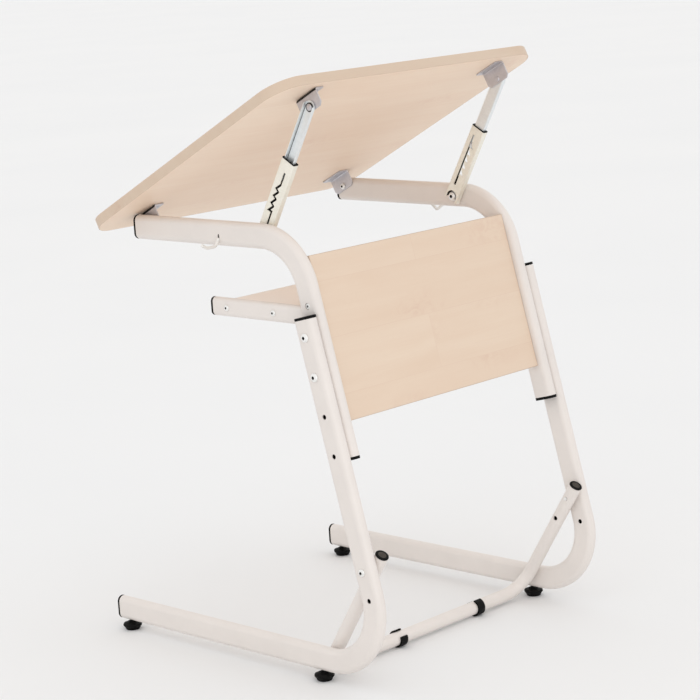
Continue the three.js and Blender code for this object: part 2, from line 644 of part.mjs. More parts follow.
function shelfBoardGeometry() {
  const board = box(-INNER_HALF, INNER_HALF, CORNER_Y - SHELF_FRONT, CORNER_Y - SHELF_BACK,
    SHELF_Z - BOARD_T / 2, SHELF_Z + BOARD_T / 2);
  const pilots = Object.values(SIDES).flatMap((side) => SHELF_SCREWS.map((reach) =>
    barX(2.3, side * (INNER_HALF - 26), side * (INNER_HALF + 1), CORNER_Y - reach, SHELF_Z, 12)));
  return cut(board, ...pilots);
}

function backPanelGeometry() {
  const height = PANEL_HIGH - PANEL_LOW;
  const board = box(-INNER_HALF, INNER_HALF, -BOARD_T / 2, BOARD_T / 2, 0, height);
  const pilots = Object.values(SIDES).map((side) =>
    barX(2.3, side * (INNER_HALF - 26), side * (INNER_HALF + 1), 0, PANEL_SCREW - PANEL_LOW, 12));
  return cut(board, ...pilots);
}

function addBoards() {
  add(assembly, 'shelf_board', shelfBoardGeometry(), MAPLE);
  const low = legPoint(PANEL_LOW);
  add(assembly, 'back_panel', backPanelGeometry(), MAPLE, 0, low.y, low.z, LEAN);
}

function addDesktop() {
  const desk = new THREE.Group();
  desk.position.set(0, HINGE_Y, HINGE_Z);
  desk.rotation.x = DESK_TILT;
  assembly.add(desk);
  add(desk, 'desktop', desktopGeometry(), MAPLE);
  for (const [name, side] of Object.entries(SIDES)) {
    add(desk, `hinge_bracket_${name}`, hingeBracketGeometry(side), ZINC);
    add(desk, `strut_bracket_${name}`, strutBracketGeometry(side), ZINC, 0, STRUT_TOP_U, 0);
  }
}

function addFootrest() {
  add(assembly, 'footrest_bar', footrestGeometry(), PAINT);
  const top = V(0, PIVOT.y, PIVOT.z).addScaledVector(FOOTREST_DIR, -FOOTREST_TOP);
  for (const [name, side] of Object.entries(SIDES)) {
    add(assembly, `footrest_plug_${name}`, roundPlugGeometry(), BLACK, side * FOOTREST_X, top.y, top.z,
      -FOOTREST_LEAN);
    add(assembly, `footrest_clip_${name}`, clipGeometry(CLIP_MOUTHS[name]), BLACK, CLIP_PLACES[name], BAR_Y,
      BAR_Z);
  }
}

addFrames();
addBoards();
addDesktop();
addFootrest();

export default assembly;
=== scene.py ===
"""Looks for the tilt-top drawing desk: pieces, materials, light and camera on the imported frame."""

import json
import math
import random

import bmesh
import bpy
from mathutils import Matrix, Vector


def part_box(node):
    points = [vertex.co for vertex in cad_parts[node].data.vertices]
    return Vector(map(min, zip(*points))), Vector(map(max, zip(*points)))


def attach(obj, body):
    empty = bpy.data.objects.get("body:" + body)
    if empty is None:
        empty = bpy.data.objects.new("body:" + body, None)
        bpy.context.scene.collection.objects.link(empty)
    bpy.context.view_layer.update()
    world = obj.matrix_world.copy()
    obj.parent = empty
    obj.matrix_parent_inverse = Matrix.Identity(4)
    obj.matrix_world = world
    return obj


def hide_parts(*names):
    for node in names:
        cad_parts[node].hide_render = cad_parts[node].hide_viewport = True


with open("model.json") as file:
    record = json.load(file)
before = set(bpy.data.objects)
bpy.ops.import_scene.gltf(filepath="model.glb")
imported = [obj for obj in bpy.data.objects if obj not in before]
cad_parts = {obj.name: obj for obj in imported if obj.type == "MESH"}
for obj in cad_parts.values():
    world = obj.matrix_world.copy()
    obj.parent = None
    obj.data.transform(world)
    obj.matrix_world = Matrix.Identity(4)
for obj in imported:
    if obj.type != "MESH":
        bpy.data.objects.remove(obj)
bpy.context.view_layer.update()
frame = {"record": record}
RNG = random.Random(7)

# ---- dimensions, in millimetres
MM = 0.001
SIDES = {"right": 1, "left": -1}
JOINTS = {j["name"]: j for j in frame["record"]["behaviour"]["joints"]}


def joint_point(name):
    return Vector(JOINTS[name]["pos_m"]) / MM


def joint_axis(name):
    return Vector(JOINTS[name]["axis"]).normalized()


GAP = 0.3
TUBE_H = 40.0
TUBE_W = 20.0
WALL = 1.5
BEND_R = 96.0
FOOT_REACH = 626.0
ARM_REACH = 526.5
LOWER_LEG_TOP = 557.0
UPPER_LEG_LOW = 337.5
STUD_REACHES = (607.0, 146.0)
LEG_HOLE_R = 4.0
LOW_LEG_HOLES = (163.0, 118.5)
FOOT_Z = 36.0
ARM_Z = 696.0
LOWER_X = 258.5
UPPER_X = LOWER_X - TUBE_W - GAP
ARM_INNER_X = UPPER_X - TUBE_W / 2
LEG_DIR = joint_axis("height_slide")
LEG_REAR = Vector((0, LEG_DIR.z, -LEG_DIR.y))
HINGE = joint_point("desktop_tilt")
PIVOT = joint_point("footrest_swing")
STRUT_FOOT = joint_point("sleeve_swing_right")
STRUT_DIR = joint_axis("slider_travel_right")
STRUT_X = ARM_INNER_X - 6.3
CORNER = Vector((0, HINGE.y + 512.0, FOOT_Z))
LEAN = math.atan2(-LEG_DIR.y, LEG_DIR.z)
UPPER_CORNER = (ARM_Z - FOOT_Z) / math.cos(LEAN)
PITCH = 60.0 / math.cos(LEAN)
TOP_BOLT = 530.0
DESK_TILT = math.radians(27)
HINGE_DROP = 22.0
BOARD_T = 16.0
DESK_W = 600.0
DESK_D = 535.0
DESK_FRONT = -73.0
DESK_R = 50.0
INNER_BOARD_W = 455.8
SHELF_Z = 577.0
SHELF_W = 15.0
SHELF_H = 30.0
SHELF_WALL = 1.2
SHELF_X = ARM_INNER_X + SHELF_W / 2
SHELF_REACH = 358.5
SHELF_BOARD_ENDS = (346.0, 146.5)
SHELF_SCREWS = (326.0, 220.5)
PANEL_LOW = 390.5
PANEL_HIGH = 650.5
PANEL_SCREW = 575.5
FOOTREST_R = 11.0
FOOTREST_LEAN = math.radians(33)
BAR_Z = 14.3
PLUG_RIM = 4.4
BRACKET_T = 2.0
BRACKET_FOLD_R = 4.2
BRACKET_HALF = 24.0
BRACKET_SCREW_IN = 7.5
BRACKET_SCREWS = {"front": -14, "rear": 14}
EAR_TIP = 7.0
HINGE_FLANGE = 22.4
STRUT_BRACKET_INNER = 198.5
STRUT_TOP_U = 424.0
STRUT_LEN = 229.2925
SLEEVE_W = 28.0
SLEEVE_D = 11.0
SLEEVE_WALL = 1.2
SLEEVE_TOP = 133.5
SLEEVE_LOW = -7.0
SLIDER_D = 6.6
SLIDER_R = 10.5
SLIDER_START = 95.0
RIM_GROOVE_W = 0.9
# Radius beyond which the rivet's flange is painted dark as shade.
RIVET_SHADE_EDGE = 5.45
PIN_ALONG = 104.0
PIN_ACROSS = 2.7
STRUT_ANGLE = math.atan2(STRUT_DIR.z, STRUT_DIR.y)
HOOK_Y = CORNER.y - 328.0
HOOK_Z = 688.0
# Distance out from the arm and height above the slit; the left hook hangs lower.
HOOK_LINES = {"right": ((0, 0), (8, -11), (26, -11), (36.5, -5)),
              "left": ((0, 0), (5, -13), (18, -25), (35, -17))}
SIDE = Vector((1, 0, 0))
FORWARD = Vector((0, -1, 0))
DOWN = Vector((0, -math.sin(FOOTREST_LEAN), -math.cos(FOOTREST_LEAN)))
ACROSS = Vector((0, math.cos(FOOTREST_LEAN), -math.sin(FOOTREST_LEAN)))
FOOTREST_X = LOWER_X - TUBE_W / 2 - GAP - FOOTREST_R
FOOTREST_LEN = (PIVOT.z - BAR_Z) / math.cos(FOOTREST_LEAN)
# Where the footrest clips open, in degrees around the bar.
CLIP_ARCS = {"right": (100, 380), "left": (155, 435)}
CLIP_W = 16.0
CLIP_TIP_R = 1.4


def leg_point(s, off=0.0):
    return CORNER + LEG_DIR * s + LEG_REAR * off


# ---- mesh helpers
def linked(name, data):
    obj = bpy.data.objects.new(name, data)
    bpy.context.scene.collection.objects.link(obj)
    return obj


def evaluated_mesh(obj):
    graph = bpy.context.evaluated_depsgraph_get()
    return bpy.data.meshes.new_from_object(obj.evaluated_get(graph))


def to_object(name, bm, matrix=None):
    mesh = bpy.data.meshes.new(name)
    bmesh.ops.recalc_face_normals(bm, faces=bm.faces)
    if matrix is not None:
        bm.transform(matrix)
    bm.transform(Matrix.Scale(MM, 4))
    bm.to_mesh(mesh)
    bm.free()
    return linked(name, mesh)


def baked(obj):
    """Applies the object's modifiers to its mesh."""
    mesh = evaluated_mesh(obj)
    obj.modifiers.clear()
    old = obj.data
    obj.data = mesh
    if old.users == 0:
        bpy.data.meshes.remove(old)
    return obj


def drop(*objects):
    for obj in objects:
        bpy.data.objects.remove(obj, do_unlink=True)


def cut(obj, *tools):
    for tool in tools:
        modifier = obj.modifiers.new("cut", "BOOLEAN")
        modifier.operation = "DIFFERENCE"
        modifier.solver = "EXACT"
        modifier.object = tool
    baked(obj)
    drop(*tools)
    return obj


def softened(obj, width, segments=2, angle=40):
    modifier = obj.modifiers.new("edges", "BEVEL")
    modifier.width = width * MM
    modifier.segments = segments
    modifier.limit_method = "ANGLE"
    modifier.angle_limit = math.radians(angle)
    return baked(obj)


def shaded(obj, angle=35):
    """Smooth shading with sharp creases and area-weighted normals."""
    mesh = obj.data
    for face in mesh.polygons:
        face.use_smooth = True
    mesh.set_sharp_from_angle(angle=math.radians(angle))
    modifier = obj.modifiers.new("normals", "WEIGHTED_NORMAL")
    modifier.keep_sharp = True
    modifier.weight = 60
    return baked(obj)


def finishes(obj, *materials):
    for material in materials:
        obj.data.materials.append(material)


def second_finish(obj, test):
    """Gives the second material to the faces whose centre, in millimetres, passes the test."""
    for face in obj.data.polygons:
        if test(face.center / MM):
            face.material_index = 1


def keep(obj, body, material, slot, *nodes):
    """Gives a piece its material and body, and hides the CAD nodes that it stands for. The slot
    argument is not used.
    """
    if obj.data.materials:
        obj.data.materials[0] = material
    else:
        finishes(obj, material)
    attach(obj, body)
    if nodes:
        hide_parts(*nodes)


def arc_points(cx, cy, r, a0, a1, steps):
    angles = [a0 + (a1 - a0) * i / steps for i in range(steps + 1)]
    return [(cx + r * math.cos(angle), cy + r * math.sin(angle)) for angle in angles]


def rounded(w, h, r, steps=8, cx=0.0, cy=0.0):
    a, b = w / 2 - r, h / 2 - r
    half = math.pi / 2
    points = []
    for x, y, start in ((a, -b, -half), (a, b, 0), (-a, b, half), (-a, -b, math.pi)):
        points += arc_points(cx + x, cy + y, r, start, start + half, steps)
    return points


def circle(r, steps=32, cx=0.0, cy=0.0):
    return arc_points(cx, cy, r, 0, 2 * math.pi * (steps - 1) / steps, steps - 1)


def stadium(w, h, steps=9):
    return rounded(w, h, w / 2 - 0.01, steps)


def stations(corners, radius, side, steps):
    """Points and tangents along straight runs joined by arcs; the runs meet at the corners."""
    heading = [(corners[i + 1] - corners[i]).normalized() for i in range(len(corners) - 1)]
    out = [(corners[0], heading[0])]
    for i in range(1, len(corners) - 1):
        before, after = heading[i - 1], heading[i]
        turn = before.angle(after)
        sign = 1 if before.cross(after).dot(side) > 0 else -1
        start = corners[i] - before * radius * math.tan(turn / 2)
        inward = side.cross(before) * sign
        centre = start + inward * radius
        for k in range(steps + 1):
            spin = Matrix.Rotation(sign * turn * k / steps, 3, side)
            out.append((centre - spin @ (inward * radius), spin @ before))
    out.append((corners[-1], heading[-1]))
    return out


def sweep(name, outer, path, side, inner=None):
    """Sweeps an outline along a path. With an inner outline of as many points it is a tube."""
    bm = bmesh.new()

    def rings(outline):
        made = []
        for point, tangent in path:
            up = tangent.cross(side)
            made.append([bm.verts.new(point + side * a + up * b) for a, b in outline])
        return made

    def skin(loops, index):
        count = len(loops[0])
        for low, high in zip(loops, loops[1:]):
            for j in range(count):
                k = (j + 1) % count
                face = bm.faces.new((low[j], low[k], high[k], high[j]))
                face.material_index = index

    outside = rings(outer)
    skin(outside, 0)
    if inner is None:
        bm.faces.new(reversed(outside[0]))
        bm.faces.new(outside[-1])
    else:
        inside = rings(inner)
        skin(inside, 1)
        count = len(outer)
        for a, b in ((outside[0], inside[0]), (outside[-1], inside[-1])):
            for j in range(count):
                k = (j + 1) % count
                bm.faces.new((a[j], a[k], b[k], b[j]))
    return to_object(name, bm)


def lathe(name, profile, steps=40, matrix=None, wobble=None):
    """Turns a profile of (radius, height) about Z; it starts and ends on the axis."""
    bm = bmesh.new()
    loops = []
    for radius, height in profile:
        if radius < 1e-6:
            loops.append([bm.verts.new((0, 0, height))])
            continue
        loop = []
        for i in range(steps):
            angle = 2 * math.pi * i / steps
            r = radius * (wobble(radius, angle) if wobble else 1.0)
            loop.append(bm.verts.new((r * math.cos(angle), r * math.sin(angle), height)))
        loops.append(loop)
    for low, high in zip(loops, loops[1:]):
        for i in range(steps):
            k = (i + 1) % steps
            if len(low) == 1:
                bm.faces.new((low[0], high[k], high[i]))
            elif len(high) == 1:
                bm.faces.new((low[i], low[k], high[0]))
            else:
                bm.faces.new((low[i], low[k], high[k], high[i]))
    return to_object(name, bm, matrix)


def plate(name, outline, holes=(), thickness=2.0, bevel=0.3, matrix=None, low=0.0):
    """A flat piece with holes and softened edges, from z = low to z = low + thickness."""
    curve = bpy.data.curves.new(name, "CURVE")
    curve.dimensions = "2D"
    curve.fill_mode = "BOTH"
    curve.extrude = (thickness / 2 - bevel) * MM
    curve.bevel_depth = bevel * MM
    curve.bevel_resolution = 2
    curve.offset = -bevel * MM
    for loop in (outline, *holes):
        spline = curve.splines.new("POLY")
        spline.points.add(len(loop) - 1)
        for point, (x, y) in zip(spline.points, loop):
            point.co = (x * MM, y * MM, 0, 1)
        spline.use_cyclic_u = True
    source = linked(name + "_outline", curve)
    mesh = evaluated_mesh(source)
    mesh.name = name
    drop(source)
    bm = bmesh.new()
    bm.from_mesh(mesh)
    bmesh.ops.remove_doubles(bm, verts=bm.verts, dist=2e-6)
    bmesh.ops.recalc_face_normals(bm, faces=bm.faces)
    bm.transform(Matrix.Scale(1 / MM, 4))
    bm.transform(Matrix.Translation((0, 0, low + thickness / 2)))
    if matrix is not None:
        bm.transform(matrix)
    bm.transform(Matrix.Scale(MM, 4))
    bm.to_mesh(mesh)
    bm.free()
    return linked(name, mesh)


def prism(name, outline, z0, z1, matrix=None):
    bm = bmesh.new()
    low = [bm.verts.new((x, y, z0)) for x, y in outline]
    high = [bm.verts.new((x, y, z1)) for x, y in outline]
    bm.faces.new(reversed(low))
    bm.faces.new(high)
    for j in range(len(outline)):
        k = (j + 1) % len(outline)
        bm.faces.new((low[j], low[k], high[k], high[j]))
    return to_object(name, bm, matrix)


def joined(name, *objects):
    """Merges meshes into one object without welding them."""
    bm = bmesh.new()
    for obj in objects:
        bm.from_mesh(obj.data)
    mesh = bpy.data.meshes.new(name)
    bm.to_mesh(mesh)
    bm.free()
    drop(*objects)
    return linked(name, mesh)


def facing_x(sign, x, y, z):
    """Turns local Z to +X (sign 1) or -X (sign -1), then moves to a point."""
    return Matrix.Translation((x, y, z)) @ Matrix.Rotation(sign * math.pi / 2, 4, "Y")


# Shapes drawn as (y, z) with their thickness along +X.
YZ = Matrix(((0, 0, 1, 0), (1, 0, 0, 0), (0, 1, 0, 0), (0, 0, 0, 1)))


def across_x(name, outline, x0, x1):
    """A prism along X between two places, given in either order."""
    return prism(name, outline, min(x0, x1), max(x0, x1), YZ)


def drill(r, x0, x1, y, z, steps=28):
    return across_x("drill", circle(r, steps, y, z), x0, x1)


def metres(matrix):
    out = matrix.copy()
    out.translation = matrix.translation * MM
    return out


# ---- material helpers
class Nodes:
    """A short way to write a node tree for one material."""

    def __init__(self, name):
        self.material = bpy.data.materials.new(name)
        self.material.use_nodes = True
        self.tree = self.material.node_tree
        self.shader = self.tree.nodes["Principled BSDF"]
        coords = self.tree.nodes.new("ShaderNodeTexCoord")
        self.object = coords.outputs["Object"]

    def add(self, kind, inputs=None, **settings):
        node = self.tree.nodes.new(kind)
        for key, value in settings.items():
            setattr(node, key, value)
        for key, value in (inputs or {}).items():
            if isinstance(value, bpy.types.NodeSocket):
                self.tree.links.new(value, node.inputs[key])
            else:
                node.inputs[key].default_value = value
        return node

    def scaled(self, x, y, z, source=None):
        node = self.add("ShaderNodeMapping", {"Vector": source or self.object, "Scale": (x, y, z)})
        return node.outputs["Vector"]

    def noise(self, vector, scale, detail=3.0, rough=0.55, distortion=0.0):
        node = self.add("ShaderNodeTexNoise", {"Vector": vector, "Scale": scale, "Detail": detail,
                                               "Roughness": rough, "Distortion": distortion})
        return node.outputs["Fac"]

    def ramp(self, factor, low, high, a=0.0, b=1.0):
        node = self.add("ShaderNodeMapRange", {"Value": factor, "From Min": low, "From Max": high,
                                               "To Min": a, "To Max": b})
        return node.outputs["Result"]

    def mix(self, factor, a, b):
        node = self.add("ShaderNodeMix", data_type="RGBA", blend_type="MIX")
        for index, value in ((0, factor), (6, a), (7, b)):
            if isinstance(value, bpy.types.NodeSocket):
                self.tree.links.new(value, node.inputs[index])
            else:
                node.inputs[index].default_value = value if index == 0 else (*value, 1.0)
        return node.outputs[2]

    def math(self, operation, a, b=0.0, clamp=False):
        node = self.add("ShaderNodeMath", operation=operation, use_clamp=clamp)
        for index, value in ((0, a), (1, b)):
            if isinstance(value, bpy.types.NodeSocket):
                self.tree.links.new(value, node.inputs[index])
            else:
                node.inputs[index].default_value = value
        return node.outputs[0]

    def bump(self, height, strength, distance):
        node = self.add("ShaderNodeBump", {"Height": height, "Strength": strength,
                                           "Distance": distance})
        self.tree.links.new(node.outputs["Normal"], self.shader.inputs["Normal"])

    def set(self, **values):
        for key, value in values.items():
            socket = self.shader.inputs[key.replace("_", " ")]
            if isinstance(value, bpy.types.NodeSocket):
                self.tree.links.new(value, socket)
            else:
                socket.default_value = (*value, 1.0) if isinstance(value, tuple) else value
        return self.material


def scaled_color(color, factor):
    return tuple(c * factor for c in color)


def powder_coat(name, color):
    """Satin powder coat: orange-peel bump and a faint cloudiness in the colour."""
    n = Nodes(name)
    peel = n.noise(n.object, 620.0, 2.0, 0.5)
    cloud = n.noise(n.object, 9.0, 4.0, 0.6)
    speck = n.noise(n.object, 1500.0, 1.0, 0.4)
    tint = n.mix(n.ramp(cloud, 0.35, 0.65), scaled_color(color, 0.95), color)
    tint = n.mix(n.ramp(speck, 0.68, 0.8, 0.0, 0.12), tint, scaled_color(color, 0.8))
    n.bump(peel, 0.16, 0.0004)
    return n.set(Base_Color=tint, Roughness=n.ramp(cloud, 0.3, 0.7, 0.36, 0.46), Coat_Weight=0.15,
                 Coat_Roughness=0.3)


# Pale tone the boards are lifted toward; on the shelf, lifted most of the way, it is a painted
# sheen.
PALE_TONE_AND_SHEEN = (0.92, 0.87, 0.83)


def maple(name, stave, tone=1.0, staves=True, pale=0.0):
    """Pale maple board in staves along X, with fibre, figure, small curls and fleck."""
    n = Nodes(name)

    def pigment(*color):
        return tuple((c + (p - c) * pale) * tone for c, p in zip(color, PALE_TONE_AND_SHEEN))

    light = pigment(0.835, 0.672, 0.525)
    warm = pigment(0.790, 0.600, 0.452)
    pink = pigment(0.730, 0.505, 0.385)
    brick = n.add("ShaderNodeTexBrick", {
        "Vector": n.object, "Color1": (0, 0, 0, 1), "Color2": (1, 1, 1, 1),
        "Mortar": (0.5, 0.5, 0.5, 1), "Scale": 1.0, "Mortar Size": 0.0006 if staves else 0.0,
        "Mortar Smooth": 0.6, "Bias": 0.0, "Brick Width": 0.74, "Row Height": stave},
        offset=0.37, offset_frequency=2, squash=1.0)
    shade = n.add("ShaderNodeSeparateColor", {"Color": brick.outputs["Color"]}).outputs[0]
    shift = n.add("ShaderNodeCombineXYZ", {"X": n.math("MULTIPLY", shade, 3.1),
                                           "Y": n.math("MULTIPLY", shade, 7.7)})
    moved = n.add("ShaderNodeVectorMath", {0: n.object, 1: shift.outputs[0]},
                  operation="ADD").outputs[0]
    figure = n.noise(n.scaled(2.6, 15.0, 15.0, moved), 1.0, 4.0, 0.55, 0.9)
    fibre = n.noise(n.scaled(11.0, 420.0, 420.0, moved), 1.0, 3.0, 0.6, 0.3)
    fleck = n.noise(n.scaled(70.0, 900.0, 900.0, moved), 1.0, 1.0, 0.5)
    rings = n.add("ShaderNodeTexWave", {
        "Vector": n.scaled(0.8, 9.0, 9.0, moved), "Scale": 1.0, "Distortion": 5.0, "Detail": 3.0,
        "Detail Scale": 0.7, "Detail Roughness": 0.6}, wave_type="BANDS", bands_direction="Y")
    curls = n.add("ShaderNodeTexVoronoi", {
        "Vector": n.scaled(4.2, 9.0, 9.0, moved), "Scale": 1.0, "Randomness": 1.0}, feature="F1")
    curl = n.ramp(curls.outputs["Distance"], 0.05, 0.34, 1.0, 0.0)
    swirl = n.noise(n.scaled(36.0, 52.0, 52.0, moved), 1.0, 3.0, 0.6, 1.6)
    patch = n.math("MULTIPLY", curl, n.ramp(swirl, 0.42, 0.68), clamp=True)
    tint = n.mix(n.ramp(figure, 0.32, 0.72, 0.0, 0.75), light, warm)
    tint = n.mix(n.ramp(shade, 0.0, 1.0, 0.0, 0.30), tint, warm)
    tint = n.mix(n.ramp(rings.outputs["Fac"], 0.55, 1.0, 0.0, 0.22), tint, warm)
    tint = n.mix(n.math("MULTIPLY", patch, 0.62), tint, pink)
    tint = n.mix(n.ramp(fibre, 0.38, 0.78, 0.0, 0.30), tint, warm)
    tint = n.mix(n.ramp(fleck, 0.66, 0.84, 0.0, 0.22), tint, pink)
    if staves:
        tint = n.mix(n.math("MULTIPLY", brick.outputs["Fac"], 0.34), tint, pink)
    height = n.math("ADD", n.math("MULTIPLY", fibre, 0.7), n.math("MULTIPLY", fleck, 0.3))
    n.bump(height, 0.10, 0.0004)
    return n.set(Base_Color=tint, Roughness=n.ramp(fibre, 0.3, 0.8, 0.44, 0.58),
                 Coat_Weight=0.08, Coat_Roughness=0.35)


def plated(name, color, tint, rough, metal):
    """Zinc-plated pressed steel: rolling streaks, spangle and a faint passivation tint."""
    n = Nodes(name)
    cloud = n.noise(n.object, 55.0, 4.0, 0.6, 0.6)
    grain = n.noise(n.scaled(60.0, 900.0, 60.0), 1.0, 3.0, 0.65)
    spangle = n.add("ShaderNodeTexVoronoi", {"Vector": n.object, "Scale": 420.0}, feature="F1")
    cells = n.add("ShaderNodeSeparateColor", {"Color": spangle.outputs["Color"]}).outputs[0]
    base = n.mix(n.ramp(cloud, 0.32, 0.7), color, tint)
    base = n.mix(n.ramp(cells, 0.0, 1.0, 0.0, 0.12), base, scaled_color(color, 0.7))
    base = n.mix(n.ramp(grain, 0.45, 0.75, 0.0, 0.16), base, scaled_color(color, 0.72))
    n.bump(grain, 0.08, 0.0002)
    return n.set(Base_Color=base, Metallic=metal,
                 Roughness=n.ramp(cloud, 0.3, 0.7, rough, rough + 0.12))


def moulded(name, color):
    """Moulded plastic with a fine eroded grain and slight scuffing."""
    n = Nodes(name)
    grain = n.noise(n.object, 1400.0, 2.0, 0.6)
    scuff = n.noise(n.scaled(90.0, 300.0, 90.0), 1.0, 4.0, 0.6, 0.4)
    tint = n.mix(n.ramp(scuff, 0.5, 0.8, 0.0, 0.5), color, tuple(c * 2.2 + 0.003 for c in color))
    n.bump(grain, 0.22, 0.0002)
    return n.set(Base_Color=tint, Roughness=n.ramp(scuff, 0.35, 0.7, 0.5, 0.66),
                 Specular_IOR_Level=0.12)


def scale_and_painted_shade(name):
    """Dark mill scale inside the tubes; elsewhere the same dark finish is painted shade, in bracket
    folds, the slider's groove, the rivet's rim, screw sockets and the sleeve's inside.
    """
    n = Nodes(name)
    scale = n.noise(n.object, 130.0, 4.0, 0.6)
    tint = n.mix(n.ramp(scale, 0.35, 0.7), (0.012, 0.011, 0.010), (0.035, 0.026, 0.020))
    return n.set(Base_Color=tint, Metallic=0.2, Roughness=0.75)


PAINT = powder_coat("frame_powder_coat", (0.775, 0.722, 0.683))
WOOD_TOP = maple("maple_staves_x", 0.098, 1.06, pale=0.08)
WOOD_PANEL = maple("maple_panel", 0.088, 0.90, pale=0.04)
# The shelf's wood is lifted most of the way to the pale tone: painted light, standing for the
# grazing sheen on its face.
WOOD_SHELF = maple("maple_shelf", 0.098, 1.04, pale=0.85)
EDGE = maple("maple_edge_band", 0.5, 0.78, staves=False)
ZINC = plated("zinc_plate", (0.56, 0.55, 0.58), (0.66, 0.64, 0.67), 0.34, 0.75)
BRIGHT = plated("bright_zinc", (0.80, 0.84, 0.86), (0.86, 0.89, 0.90), 0.32, 0.65)
CREAM = plated("cream_zinc", (0.86, 0.83, 0.73), (0.90, 0.875, 0.80), 0.38, 0.35)
HEAD = plated("screw_zinc", (0.86, 0.86, 0.84), (0.91, 0.91, 0.90), 0.34, 0.45)
BLACK = moulded("black_plastic", (0.003, 0.003, 0.0028))
WORN = moulded("worn_plastic", (0.060, 0.052, 0.045))
ENAMEL = powder_coat("hook_enamel", (0.82, 0.80, 0.77))
# Mill scale in the tube interiors; painted shade wherever else this finish is used.
SCALE_AND_SHADE = scale_and_painted_shade("tube_inside_and_painted_shade")


# ---- frame tubes
OUTER = stadium(TUBE_W, TUBE_H)
INNER = stadium(TUBE_W - 2 * WALL, TUBE_H - 2 * WALL)


def shifted(path, x):
    return [(point + SIDE * x, tangent) for point, tangent in path]


def frame_tube(name, path, tools, body, node):
    tube = sweep(name, OUTER, path, SIDE, INNER)
    finishes(tube, PAINT, SCALE_AND_SHADE)
    cut(tube, joined("tools", *tools))
    shaded(tube)
    keep(tube, body, PAINT, "frame_paint", node)


def leg_drills(places, x0, x1, r=LEG_HOLE_R):
    return [drill(r, x0, x1, leg_point(s).y, leg_point(s).z) for s in places]


def lower_frame(name, side):
    corners = [CORNER + FORWARD * FOOT_REACH, CORNER, leg_point(LOWER_LEG_TOP)]
    path = shifted(stations(corners, BEND_R, SIDE, 26), side * LOWER_X)
    places = [TOP_BOLT - i * PITCH for i in range(4)] + list(LOW_LEG_HOLES)
    tools = leg_drills(places, side * (LOWER_X - 14), side * (LOWER_X + 14))
    for reach in STUD_REACHES:
        stud = Matrix.Translation((side * LOWER_X, CORNER.y - reach, 0))
        tools.append(prism("stud", circle(4.4, 24), 8, 26, stud))
    frame_tube(f"lower_tube_{name}", path, tools, "base", f"lower_frame_{name}")


def upper_frame(name, side):
    front = Vector((0, CORNER.y - ARM_REACH, ARM_Z))
    corners = [leg_point(UPPER_LEG_LOW), leg_point(UPPER_CORNER), front]
    path = shifted(stations(corners, BEND_R, SIDE, 22), side * UPPER_X)
    out, mid = side * (UPPER_X + 14), side * UPPER_X
    tools = leg_drills([TOP_BOLT, TOP_BOLT - PITCH], mid, out)
    tools += leg_drills([PANEL_SCREW], mid, out, 5.2)
    slit = rounded(3.6, 11.0, 1.7, 5, HOOK_Y, HOOK_Z + 2.2)
    tools.append(across_x("slit", slit, mid, out))
    frame_tube(f"upper_tube_{name}", path, tools, "upper", f"upper_frame_{name}")


def leg_face_y(x, z, clear):
    """Y of the upper leg's rounded front face at x and z, less a clearance."""
    r = TUBE_W / 2
    dx = min(r - 0.01, abs(x - UPPER_X))
    off = -(TUBE_H / 2 - r) - math.sqrt(r * r - dx * dx) - clear
    return CORNER.y + (off - (z - FOOT_Z) * math.sin(LEAN)) / math.cos(LEAN)


def shelf_tube(name, side):
    """The tube's rear end follows the leg's round face, and a weld bead runs round it."""
    outer = stadium(SHELF_W, SHELF_H)
    inner = stadium(SHELF_W - 2 * SHELF_WALL, SHELF_H - 2 * SHELF_WALL)
    bm = bmesh.new()
    front = CORNER.y - SHELF_REACH

    def ring(outline, y=None):
        made = []
        for a, b in outline:
            x, z = SHELF_X + a, SHELF_Z + b
            depth = leg_face_y(x, z, GAP) if y is None else y
            made.append(bm.verts.new((side * x, depth, z)))
        return made

    for outline, index in ((outer, 0), (inner, 1)):
        a, b = ring(outline, front), ring(outline)
        for j in range(len(outline)):
            k = (j + 1) % len(outline)
            bm.faces.new((a[j], a[k], b[k], b[j])).material_index = index
    bm.verts.ensure_lookup_table()
    count = len(outer)
    for shift in (0, count):
        for j in range(count):
            k = (j + 1) % count
            quad = (j + shift, k + shift, k + shift + 2 * count, j + shift + 2 * count)
            bm.faces.new([bm.verts[i] for i in quad])
    tube = to_object(f"shelf_tube_round_{name}", bm)
    finishes(tube, PAINT, SCALE_AND_SHADE)
    shaded(tube)
    keep(tube, "upper", PAINT, "frame_paint", f"shelf_tube_{name}")

    curve = bpy.data.curves.new("weld", "CURVE")
    curve.dimensions = "3D"
    curve.bevel_depth = 1.5 * MM
    curve.bevel_resolution = 4
    line = stadium(SHELF_W + 0.6, SHELF_H + 0.6, 22)
    spline = curve.splines.new("POLY")
    spline.points.add(len(line) - 1)
    for i, (point, (a, b)) in enumerate(zip(spline.points, line)):
        x, z = SHELF_X + a, SHELF_Z + b
        point.co = (side * x * MM, leg_face_y(x, z, 0.4) * MM, z * MM, 1)
        point.radius = 0.85 + 0.28 * abs(math.sin(i * 1.25)) + RNG.uniform(-0.06, 0.06)
    spline.use_cyclic_u = True
    source = linked("weld_curve", curve)
    mesh = evaluated_mesh(source)
    drop(source)
    bead = linked(f"shelf_weld_{name}", mesh)
    shaded(bead, 70)
    keep(bead, "upper", PAINT, "frame_paint")


